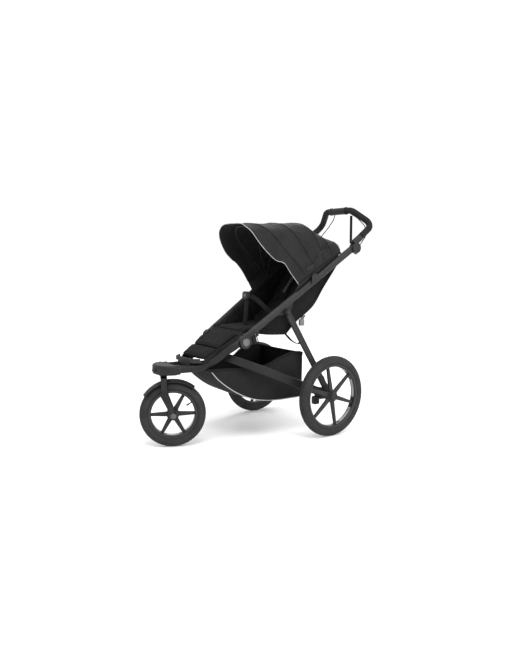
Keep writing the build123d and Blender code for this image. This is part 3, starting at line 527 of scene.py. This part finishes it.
# Half sections from the side's lower edge up to the middle, front to back: x, y and z in millimetres
CANOPY_SECTIONS = {
    "front edge": ((216, -125, 750), (206, -171, 809), (208, -211, 855), (190, -244, 867), (182, -289, 904),
                   (172, -316, 936), (162, -336, 965), (152, -348, 988), (138, -358, 1009), (106, -368, 1031),
                   (70, -371, 1044), (0, -380, 1046)),
    "front bow": ((214, -75, 783), (210, -110, 830), (200, -160, 885), (186, -205, 935), (165, -240, 985),
                  (130, -268, 1022), (75, -284, 1044), (0, -290, 1051)),
    "middle bow": ((212, -10, 822), (206, -40, 865), (197, -70, 915), (178, -98, 968), (148, -118, 1012),
                   (100, -130, 1040), (50, -136, 1052), (0, -138, 1056)),
    "rear bow": ((208, 50, 853), (203, 42, 885), (194, 30, 925), (176, 18, 972), (148, 8, 1014),
                 (100, 2, 1044), (50, 0, 1056), (0, 0, 1060)),
    "shoulder": ((205, 100, 878), (201, 98, 902), (192, 92, 932), (170, 85, 965), (138, 80, 990),
                 (95, 76, 1006), (48, 74, 1014), (0, 73, 1017)),
    "crease": ((201, 149, 903), (197, 158, 915), (188, 164, 930), (168, 166, 950), (136, 166, 963),
               (95, 166, 969), (48, 166, 972), (0, 166, 973)),
    "rear edge": ((198, 152, 898), (185, 180, 900), (160, 205, 902), (100, 212, 904), (0, 215, 905)),
}
CANOPY_ACROSS, CANOPY_ALONG = 57, 10  # points from side to side, and rows from one section to the next
CANOPY_INSIDE = at(0, -60, 800)
CLOTH = 0.0022  # the cloth's thickness, in metres


def mirror_half(points):
    return points + [Vector((-p.x, p.y, p.z)) for p in reversed(points[:-1])]


def canopy_rows():
    half = CANOPY_ACROSS // 2 + 1
    sections = [curve_through([at(*p) for p in points], half) for points in CANOPY_SECTIONS.values()]
    columns = [spline(list(column), CANOPY_ALONG) for column in zip(*sections)]
    rows = [mirror_half(list(row)) for row in zip(*columns)]
    for k, row in enumerate(rows):  # the cloth dips between its bows and puckers along its seams
        slack = math.sin(math.pi * (k % CANOPY_ALONG) / CANOPY_ALONG)
        for j, point in enumerate(row):
            from_hem = min(j, len(row) - 1 - j) / (len(row) / 2)
            dip = 0.0045 * min(1, from_hem * 3 + 0.2) * slack
            crease = 0.0022 * waves(point, 26) + 0.0012 * waves(point, 60, 5)
            pull = 0.0020 * waves((point.x * 3, point.y * 0.6, point.z * 3), 22, 9)
            row[j] = point + (CANOPY_INSIDE - point).normalized() * (dip + (crease + pull) * slack ** 0.5)
    return rows


def canopy_seams(rows):
    """Two raised rows of stitching over each bow."""
    seams = []
    for k in range(CANOPY_ALONG, len(rows) - 1, CANOPY_ALONG):
        for offset in (-0.0035, 0.0035):
            line = [p + Vector((0, offset, 0)) + (p - CANOPY_INSIDE).normalized() * 0.0012
                    for p in rows[k][1:-1]]
            seams.append(swept("seam", curve_through(line, 90), round_section(0.0007, 6)))
    return joined("canopy_seams", seams)


def canopy_zips(rows):
    """The slanted zip of the vent on each side: its tape, its coil and a small stop. Its wide black tape also
    paints in the shadow line under the vent's flap.
    """
    parts = []
    for _, s in SIDES:
        marks = []
        for t in (0, 0.25, 0.5, 0.75, 1):
            want = at(0, 90 - 158 * t, 945 - 125 * t)
            near = min((p for row in rows for p in row if p.x * s > 0.1),
                       key=lambda p: (p.y - want.y) ** 2 + (p.z - want.z) ** 2)
            marks.append(near + Vector((s * 0.0022, 0, 0)))
        line = curve_through(marks, 60)
        # The tape is wide and black so that it also stands for the painted shadow under the vent's flap.
        parts.append(swept("tape", line, flat_section(0.016, 0.0012), Vector((0, 0.6, 0.8))))
        parts.append(swept("coil", [p + Vector((s * 0.0012, 0, 0)) for p in line], round_section(0.0017, 8)))
        stop = [line[-1] + Vector((s * 0.002, 0.006 - 0.003 * k, 0.005 - 0.0025 * k)) for k in range(5)]
        parts.append(swept("stop", stop, flat_section(0.011, 0.005), Vector((0, -0.6, 0.8))))
    return joined("canopy_vent_zips_and_flap_shade", parts)


def make_canopy():
    rows = canopy_rows()
    canopy = thicken(grid("canopy_cloth", rows), CLOTH)
    piping = swept("canopy_piping", curve_through(rows[0], 90), round_section(0.0016))
    hem_section = [(a * 0.8, b * 1.9) for a, b in round_section(0.003)]
    hems = [swept("hem", curve_through(line, 60), hem_section, UP)
            for line in ([row[0] for row in rows], rows[-1], [row[-1] for row in rows])]
    # The vent zips are partly painted shade: their black tape stands for the flap's shadow line too.
    trims = [(piping, "reflective"), (joined("canopy_binding", hems), "webbing"),
             (canopy_seams(rows), "webbing"), (canopy_zips(rows), "black_plastic")]
    for piece, slot in [(canopy, "canopy_fabric"), *trims]:
        finish(piece, slot)
        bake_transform(piece)
    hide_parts("canopy")


make_canopy()

# ---------------------------------------------------------------- seat


def loft(name, profile, half_width, across=15, round_edge=0.014, pinch=None):
    """A pad: a closed side outline carried from side to side, and drawn in towards its two ends."""
    centre = sum(profile, Vector()) / len(profile)
    rings = []
    for k in range(across):
        t = 2 * k / (across - 1) - 1
        x = half_width * t
        inset = 1 - math.sqrt(max(0.0, 1 - max(0.0, (abs(t) - 0.86) / 0.14) ** 2))
        ring = []
        for p in profile:
            q = Vector((x, p.y, p.z))
            out = Vector((0, p.y - centre.y, p.z - centre.z))
            near = min(out.length, 1)
            q -= out.normalized() * round_edge * inset * min(1, near / 0.02)
            if pinch:
                q = pinch(q, t)
            ring.append(q)
        rings.append(ring)
    wide = len(profile)
    faces = [(i * wide + j, i * wide + (j + 1) % wide, (i + 1) * wide + (j + 1) % wide, (i + 1) * wide + j)
             for i in range(across - 1) for j in range(wide)]
    faces += [tuple(range(wide)), tuple((across - 1) * wide + j for j in reversed(range(wide)))]
    return new_piece(name, [p for ring in rings for p in ring], faces)


def outline(points, count):
    """A closed outline through points in the side view, evenly spaced."""
    closed = [at(0, *p) for p in points]
    return curve_through(closed + [closed[0]], count + 1)[:-1]


def channel(piece, lines, width, depth, facing):
    """Presses sewn channels into a pad where the cloth faces a direction. A line is a distance function."""
    normals = [v.normal.copy() for v in piece.data.vertices]
    for vertex, normal in zip(piece.data.vertices, normals):
        if normal.dot(facing) < 0.25:
            continue
        near = min(line(vertex.co) for line in lines)
        vertex.co -= normal * depth * math.exp(-(near / width) ** 2)


def segment(a, b):
    """Distance from a point to the line between two places, as seen on the pad."""
    run = b - a

    def distance(p):
        t = min(1, max(0, (p - a).dot(run) / run.length_squared))
        return (a + run * t - p).length
    return distance


# Side outlines of the two cushions: y and z in millimetres
SEAT_OUTLINE = ((-390, 536), (-390, 520), (-330, 519), (-255, 511), (-163, 507), (-142, 516),
                (-124, 534), (-128, 545), (-180, 545), (-260, 541), (-330, 538))
BACK_OUTLINE = ((-100, 554), (-80, 570), (10, 640), (68, 715), (138, 808), (154, 838),
                (140, 846), (107, 806), (40, 724), (-6, 662), (-66, 600), (-106, 568))


def make_seat():
    front = Vector((0, -0.5, 0.85)).normalized()
    base = inflate(loft("seat_cushion", outline(SEAT_OUTLINE, 44), 0.133), 0.006, 3.5, 0.007)
    rows = [segment(at(-120, y, 541), at(120, y, 541)) for y in (-330, -240, -165)]
    columns = [segment(at(x, -385, 538), at(x, -130, 545)) for x in (-95, 95)]
    channel(base, rows + columns, 0.008, 0.006, UP)
    base = subdivided(base)
    place_piece(base, "upper_frame", "seat_fabric", "seat_base")
    back = inflate(loft("back_cushion", outline(BACK_OUTLINE, 48), 0.147), 0.006, 3.5, 0.007)
    rows = [segment(at(-130, y, z), at(130, y, z)) for y, z in ((-30, 636), (22, 700), (74, 764))]
    columns = [segment(at(x, -66, 600), at(x, 138, 846)) for x in (-92, 92)]
    channel(back, rows + columns, 0.008, 0.007, front)
    back = subdivided(back)
    place_piece(back, "backrest", "seat_fabric", "backrest")


def panel_rows(top, bottom, count, across, lean):
    """Rows from an upper line down to a lower one, with the cloth hollowed and creased between them."""
    high, low = curve_through(top, across), curve_through(bottom, across)
    rows = []
    for k in range(count):
        t = k / (count - 1)
        row = []
        for a, b in zip(high, low):
            p = a.lerp(b, t)
            fold = 0.0035 * waves(Vector((p.y * 2.2, p.z * 0.9, 0)), 9, 3) + 0.0016 * waves(p, 45, 7)
            arch = math.sin(math.pi * t)
            row.append(p + Vector((lean * (0.0045 * arch + fold * arch ** 0.4), 0, 0)))
        rows.append(row)
    return rows


# A side rail's centre line: its place above the rear axle in millimetres, and its slopes rearwards
RAIL_X, RAIL_SPREAD = 192, 0.083
RAIL_Z, RAIL_RISE = 771, 0.664


def wing_x(y, out=0.0):
    """The side cloth's distance from the middle, which grows rearwards with the rails."""
    return 175.5 + RAIL_SPREAD * y + out


WING_TOP = ((-344, 538), (-250, 602), (-140, 675), (-30, 748), (70, 813), (151, 864))
WING_BOTTOM = ((-345, 524), (-268, 512), (-172, 507), (-158, 513), (-101, 567), (-3, 638), (60, 726),
               (125, 812), (150, 846))


def make_side_cloths():
    for side, s in SIDES:
        top = [at(s * wing_x(y), y, z) for y, z in WING_TOP]
        low = [at(s * wing_x(y), y, z) for y, z in WING_BOTTOM]
        rows = panel_rows(top, low, 25, 61, -s)
        cloth = thicken(grid(f"side_cloth_{side}", rows), CLOTH)
        place_piece(cloth, "upper_frame", "seat_fabric", *(["seat_wings"] if s > 0 else []))
        hem = swept(f"side_cloth_hem_{side}", curve_through(low, 110), flat_section(0.009, 0.0042), UP)
        place_piece(hem, "upper_frame", "webbing")


PAD_TOP, PAD_SLOPE = at(0, -425, 528), math.atan2(528 - 413, 617 - 425)
PAD_NORMAL = Vector((0, -math.sin(PAD_SLOPE), math.cos(PAD_SLOPE)))
PAD_DOWN = Vector((0, -math.cos(PAD_SLOPE), -math.sin(PAD_SLOPE)))


def pad_point(x, down, up=0.0):
    return PAD_TOP + Vector((x * MM, 0, 0)) + PAD_DOWN * down * MM + PAD_NORMAL * up * MM


def pad_half_width(down):
    """Half the leg rest's width, which narrows towards the footrest."""
    return 127 - 28 * down / 218


# Each pad's name, its CAD node, where it starts and ends down the leg rest in millimetres, and its pressure
LEG_PADS = (("leg_rest_pad", "leg_pad", 2, 128, 3.0), ("leg_rest_flap", "leg_flap", 131, 211, 2.0))


def make_leg_pads():
    for name, node, start, end, pressure in LEG_PADS:
        profile = [pad_point(0, start, -2), pad_point(0, start, -10)]
        steps = 9
        profile += [pad_point(0, start + (end - start) * k / steps, -10.5) for k in range(1, steps)]
        profile += [pad_point(0, end, -9), pad_point(0, end, -4)]
        profile += [pad_point(0, end - (end - start) * k / steps, -1.5) for k in range(1, steps)]

        def taper(point, t, start=start):
            down = (point - PAD_TOP).dot(PAD_DOWN) / MM
            return Vector((pad_half_width(down) * t * MM, point.y, point.z))

        pad = inflate(loft(name, profile, 0.12, 17, round_edge=0.004, pinch=taper), 0.005,
                      pressure, 0.004)
        seams = [segment(pad_point(x, start, 0), pad_point(x * 0.9, end, 0)) for x in (-84, 84)]
        seams.append(segment(pad_point(-110, end - 12, 0), pad_point(110, end - 12, 0)))
        channel(pad, seams, 0.005, 0.0035, PAD_NORMAL)
        pad = subdivided(pad)
        place_piece(pad, "front_frame", "seat_fabric", node)


# The front tubes' centre line: its distance from the middle, y and z, downwards
TUBE_LINE = ((157, -405, 500), (147, -455, 470), (137, -488, 446), (121, -520, 418), (106, -551, 395),
             (88, -585, 380), (76, -612, 371))


def make_sling():
    """The cloth below the leg pads, from one front tube to the other, and up to the seat's front edge."""
    tube = curve_through([at(*p) for p in TUBE_LINE], 31)
    rows = []
    for k, hold in enumerate(tube):
        down = -24 + 232 * k / 30
        edge = pad_half_width(down) - 5
        side = [Vector((hold.x - 0.004, hold.y, hold.z + 0.012)), pad_point(edge + 6, down, -13),
                pad_point(edge - 12, down, -13.5)]
        side[0].x = max(side[0].x, side[1].x)
        line = side + [pad_point(edge * 0.4, down, -14), pad_point(0, down, -14.5)]
        row = mirror_half(curve_through(line, 21))
        rows.append([p + PAD_NORMAL * 0.0012 * waves(p, 30, 11) for p in row])
    sling = thicken(grid("leg_rest_sling", rows), CLOTH)
    place_piece(sling, "front_frame", "seat_fabric")


# The lines that the gussets follow behind the backrest and below the seat: y and z
BACK_EDGE = ((-150, 516), (-128, 532), (-102, 554), (-78, 574), (8, 644), (64, 720), (130, 810), (146, 840))
BASE_EDGE = ((-388, 529), (-330, 527), (-255, 520), (-168, 513), (-142, 522), (-120, 544), (-98, 566))


def make_gussets():
    """The cloth that closes the tub, from the side cloths to the cushions, and across their hinge."""
    for side, s in SIDES:
        for name, edge, half in (("back", BACK_EDGE, 132), ("base", BASE_EDGE, 118)):
            rows = []
            for p in curve_through([at(0, *q) for q in edge], 41):
                outer = wing_x((p.y - AXLE_Y) / MM, 1.2) * MM
                row = []
                for k in range(7):
                    t = k / 6
                    slack = (0.004 + 0.0016 * waves(p, 28, s)) * math.sin(math.pi * t)
                    lift = 0.013 * t * t
                    row.append(Vector((s * (half * MM * (1 - t) + outer * t), p.y + slack * 0.6 - lift * 0.7,
                                       p.z - slack * 0.8 + lift)))
                rows.append(row)
            gusset = thicken(grid(f"seat_{name}_gusset_{side}", rows), CLOTH)
            if name == "back":
                finish(gusset, "seat_fabric")
                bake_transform(gusset)
            else:
                place_piece(gusset, "upper_frame", "seat_fabric")
    ends = [at(0, *q) for q in ((-134, 528), (-124, 534), (-112, 546), (-98, 556), (-90, 566))]
    rows = [[Vector((x * MM, p.y, p.z - 0.002 * waves((x * MM, p.y, p.z), 40))) for x in range(-130, 131, 13)]
            for p in curve_through(ends, 9)]
    strip = thicken(grid("seat_hinge_cloth", rows), CLOTH)
    finish(strip, "seat_fabric")
    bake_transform(strip)


def make_canopy_skirts():
    """The strips from the canopy's hem in over the top of the rail and down its inner face."""
    rows = canopy_rows()
    for side, s in SIDES:
        hem = [row[0 if s > 0 else -1] for row in rows]
        strip = []
        for p in hem:
            y = (p.y - AXLE_Y) / MM
            rail_x, rail_z = RAIL_X + RAIL_SPREAD * y, RAIL_Z + RAIL_RISE * y
            inner = at(s * (rail_x - 8), y, rail_z + 15)
            inner.z = min(inner.z, p.z - 0.004)
            under = at(s * (rail_x - 14.6), y, rail_z - 10)
            shoulder = Vector((under.x, inner.y, inner.z - 0.002))
            strip.append([p.lerp(inner, t) + Vector((0, 0, 0.001 * waves(p, 40, t) * math.sin(math.pi * t)))
                          for t in (0, 0.2, 0.4, 0.6, 0.8, 1)] + [shoulder, shoulder.lerp(under, 0.5), under])
        skirt = thicken(grid(f"canopy_skirt_{side}", strip), CLOTH)
        finish(skirt, "canopy_fabric")
        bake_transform(skirt)


make_seat()
make_side_cloths()
make_leg_pads()
make_sling()
make_canopy_skirts()
make_gussets()

# ---------------------------------------------------------------- harness and straps


def oval_section(wide, deep):
    """A padded strap's section, as multiples of a round one's."""
    return [(a * wide, b * deep) for a, b in round_section(0.0098, 16)]


def make_harness():
    hips = []
    for _, s in SIDES:
        path = [at(s * 22, -277, 691), at(s * 50, -252, 668), at(s * 88, -205, 610), at(s * 128, -150, 556)]
        hips.append(swept("hip", curve_through(path, 40), flat_section(0.024, 0.0022),
                          Vector((0.2 * s, 0.5, 0.8))))
    place_piece(joined("hip_webbing", hips), "upper_frame", "webbing", "hip_straps")
    pads = []
    for _, s in SIDES:
        path = [at(s * 50, 98, 806), at(s * 50, 60, 760), at(s * 50, 18, 709), at(s * 50, -21, 660)]
        pads.append(swept("pad", curve_through(path, 24), oval_section(2.3, 0.58), ACROSS))
    shoulder = subdivided(inflate(joined("shoulder_pads", pads), 0.0035, 2.5, 0.0025))
    place_piece(shoulder, "backrest", "seat_fabric", "shoulder_straps")
    webs = []
    for _, s in SIDES:
        path = curve_through([at(s * 50, 66, 781), at(s * 50, 30, 737), at(s * 49, -6, 692)], 30)
        lift = Vector((0, -0.0055, 0.0045))
        webs.append(swept("web", [p + lift for p in path], flat_section(0.025, 0.0018), ACROSS))
    place_piece(joined("shoulder_webbing", webs), "backrest", "grey_webbing")
    path = [at(0, -297, 547), at(0, -292, 590), at(0, -287, 635), at(0, -283, 671)]
    crotch = swept("crotch", curve_through(path, 24), oval_section(1.9, 0.45), ACROSS)
    crotch = subdivided(inflate(crotch, 0.003, 2.0, 0.0015))
    place_piece(crotch, "upper_frame", "webbing", "crotch_pad")


def make_fold_strap():
    path = [at(104, -130, 508), at(106, -108, 484), at(110, -82, 459), at(112, -42, 440), at(114, -20, 456)]
    loop = swept("fold_strap_loop", curve_through(path, 40), flat_section(22 * MM, 2.2 * MM), ACROSS)
    place_piece(loop, "upper_frame", "webbing", "fold_strap")


def make_wrist_strap():
    """A limp length of webbing, as long as the CAD strap that it stands for."""
    low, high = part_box("wrist_strap")
    middle = (low + high) / 2
    length = high.z - low.z
    path = [Vector((middle.x, middle.y, high.z - length * k / 6)) for k in range(7)]
    route = curve_through(path, 40)
    piece = swept("wrist_webbing", route, flat_section(0.014, 0.0034), Vector((0.6, 0.8, 0)))
    place_piece(piece, "handlebar", "webbing", "wrist_strap")


make_harness()
make_fold_strap()
make_wrist_strap()

# ---------------------------------------------------------------- basket

# y, lower z and upper z of the side panel, and its distance from the middle, front to back
BASKET_STATIONS = ((-570, 352, 356, 126), (-540, 316, 356, 128), (-500, 281, 355, 133), (-455, 249, 353, 139),
                   (-400, 219, 351, 146), (-340, 197, 351, 153), (-270, 184, 359, 158), (-200, 180, 388, 165),
                   (-140, 180, 404, 169), (-90, 181, 407, 173), (-66, 184, 400, 175))
BASKET_LEAN = 5  # how much narrower its floor is than its rim, at each side
BASKET_CLOTH = 0.0018


def gather_when_folded(piece):
    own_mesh(piece)


def basket_floor(lower, wide):
    """Rows of the basket's floor from front to back, and its two lower corner lines."""
    rows, corners = [], {1: [], -1: []}
    for k, low in enumerate(lower):
        t = k / (len(lower) - 1)
        row = []
        for j in range(33):
            u = 2 * j / 32 - 1
            x = u * (wide[k].x - BASKET_LEAN * MM)
            crease = 0.002 * waves(Vector((x, low.y, 0)), 24, 2) * (1 - u ** 6)
            row.append(Vector((x, low.y, low.z + crease + 0.006 * (u * u - 1) * min(1, 6 * t, 8 * (1 - t)))))
        rows.append(row)
        corners[1].append(row[-1])
        corners[-1].append(row[0])
    return rows, corners


def basket_back(low, high):
    """Rows of the basket's rear panel, from its lower edge up to its rim."""
    rows = []
    for k in range(1, 19):
        t = k / 18
        row = []
        for j, (a, b) in enumerate(zip(low, high)):
            p = a.lerp(b, t)
            bulge = (0.004 + 0.002 * waves(p, 20, 4)) * math.sin(math.pi * t) * math.sin(math.pi * j / 32)
            row.append(p + Vector((0, bulge, 0)))
        rows.append(row)
    return rows


def basket_side(s, corner, rim):
    """Rows of a side panel, from the floor's corner up to the rim, with its middle bellied outwards."""
    rows = []
    for i in range(15):
        t = i / 14
        row = []
        for k, (a, b) in enumerate(zip(corner, rim)):
            p = a.lerp(b, t)
            inside = min(1, k / 4, (len(corner) - 1 - k) / 4)
            belly = math.sin(math.pi * t) * (0.004 + 0.003 * waves((p.y, p.z, s), 16, 8)) * inside
            row.append(p + Vector((s * belly, 0, 0)))
        rows.append(row)
    return rows


def make_basket():
    lower = curve_through([at(0, y, low) for y, low, _, _ in BASKET_STATIONS], 49)
    upper = curve_through([at(0, y, high) for y, _, high, _ in BASKET_STATIONS], 49)
    wide = curve_through([at(half, y, 0) for y, _, _, half in BASKET_STATIONS], 49)
    rims = {s: [Vector((s * w.x, p.y, p.z)) for w, p in zip(wide, upper)] for s in (1, -1)}
    rows, corners = basket_floor(lower, wide)
    rear_top = [at(x, -57 - 9 * (x / 175) ** 2, 396 + 4 * (x / 175) ** 2) for x in range(-175, 176, 25)]
    rear_rim = curve_through(rear_top, len(rows[-1]))
    rows += basket_back(rows[-1], rear_rim)
    sides = [grid("side", basket_side(s, corners[s], rims[s])) for s in (1, -1)]
    bag = thicken(joined("basket_bag", [grid("floor", rows), *sides]), BASKET_CLOTH)
    place_piece(bag, "lower_struts", "mesh_fabric", "basket")
    lines = [[p + Vector((s * 0.001, 0, -0.001)) for p in corners[s]] for s in (1, -1)]
    piping = joined("basket_piping", [swept("piping", curve_through(line, 90), round_section(0.0024))
                                      for line in lines])
    place_piece(piping, "lower_struts", "reflective")
    tapes = [swept("rim", curve_through(rims[s], 90), flat_section(0.016, 0.0044), UP) for s in (1, -1)]
    tapes.append(swept("rim", rear_rim, flat_section(0.016, 0.0044), UP))
    front = [p + Vector((0, 0, 0.003)) for p in rows[0]]
    tapes.append(swept("rim", front, flat_section(0.014, 0.0044), UP))
    binding = joined("basket_binding", tapes)
    place_piece(binding, "lower_struts", "webbing")
    for piece in (bag, piping, binding):
        gather_when_folded(piece)


make_basket()

# ---------------------------------------------------------------- wheels

# The spin joint, the body, the tyre's radius and width, and the angle of a spoke, in millimetres and degrees
WHEELS = (("rear_wheel_spin_left", "rear_wheel_left", 200, 46, 40),
          ("rear_wheel_spin_right", "rear_wheel_right", 200, 46, 40),
          ("front_wheel_spin", "front_wheel", 155, 54, 0))
SPOKES = 6
RIM_INSIDE = 53.8  # from the tread in to the rim's inner face
TYRE_ROUND = 24  # the radius of the tread's section
LUGS = 54  # on each shoulder
LUG_ROLL = (26, 56)  # where a lug starts and ends, in degrees round the tread's section


def wheel_point(joint, radius, angle, out):
    """A place on a wheel: radius and out along the axis in metres, angle in degrees up from rearwards."""
    centre, axis = Vector(joint["pos_m"]), Vector(joint["axis"]).normalized()
    back = UP.cross(axis).normalized()
    back *= 1 if back.y > 0 else -1
    a = math.radians(angle)
    return centre + (back * math.cos(a) + UP * math.sin(a)) * radius + axis * out


def reflector_arc(joint, radius, middle):
    """Silver tape on the rim's inner face, between two spokes."""
    span = 19 if radius > 180 else 17
    inner = (radius - RIM_INSIDE) * MM
    path = [wheel_point(joint, inner, middle - span + 2 * span * i / 14, 0) for i in range(15)]
    return swept("arc", path, flat_section(0.015, 0.0009), Vector(joint["axis"]).normalized())


def lug(joint, radius, width, step, s):
    """A shallow block on the tyre's shoulder. s is the side of the wheel, and step counts round it."""
    start, end = LUG_ROLL
    rings = []
    for rise, trim in ((-0.4, 0), (0.75, 0.12)):
        corners = ((start + trim * 8, -1.3 + trim), (start + trim * 8, 1.3 - trim),
                   (end - trim * 8, 1.6 - trim), (end - trim * 8, -1.0 + trim))
        ring = []
        for roll, turn in corners:
            b = math.radians(roll)
            r = radius - TYRE_ROUND + (TYRE_ROUND + rise) * math.cos(b)
            x = s * (width / 2 + rise) * math.sin(b)
            angle = (step + (0.5 if s > 0 else 0)) * 360 / LUGS + turn + s * 1.4 * (roll - start) / 30
            ring.append(wheel_point(joint, r * MM, angle, x * MM))
        rings.append(ring)
    low, high = rings
    faces = [(0, 1, 2, 3), (7, 6, 5, 4)] + [(i, (i + 1) % 4, 4 + (i + 1) % 4, 4 + i) for i in range(4)]
    return new_piece("lug", low + high, faces, smooth=False)


def make_wheel_trim():
    for name, body, radius, width, spoke in WHEELS:
        joint = JOINTS[name]
        pitch = 360 / SPOKES
        arcs = [reflector_arc(joint, radius, spoke + pitch * (k + 0.5)) for k in range(SPOKES)]
        place_piece(joined(f"{body}_reflectors", arcs), body, "reflective")
        lugs = [lug(joint, radius, width, step, s) for step in range(LUGS) for s in (1, -1)]
        place_piece(joined(f"{body}_tread", lugs), body, "tyre_rubber")


make_wheel_trim()
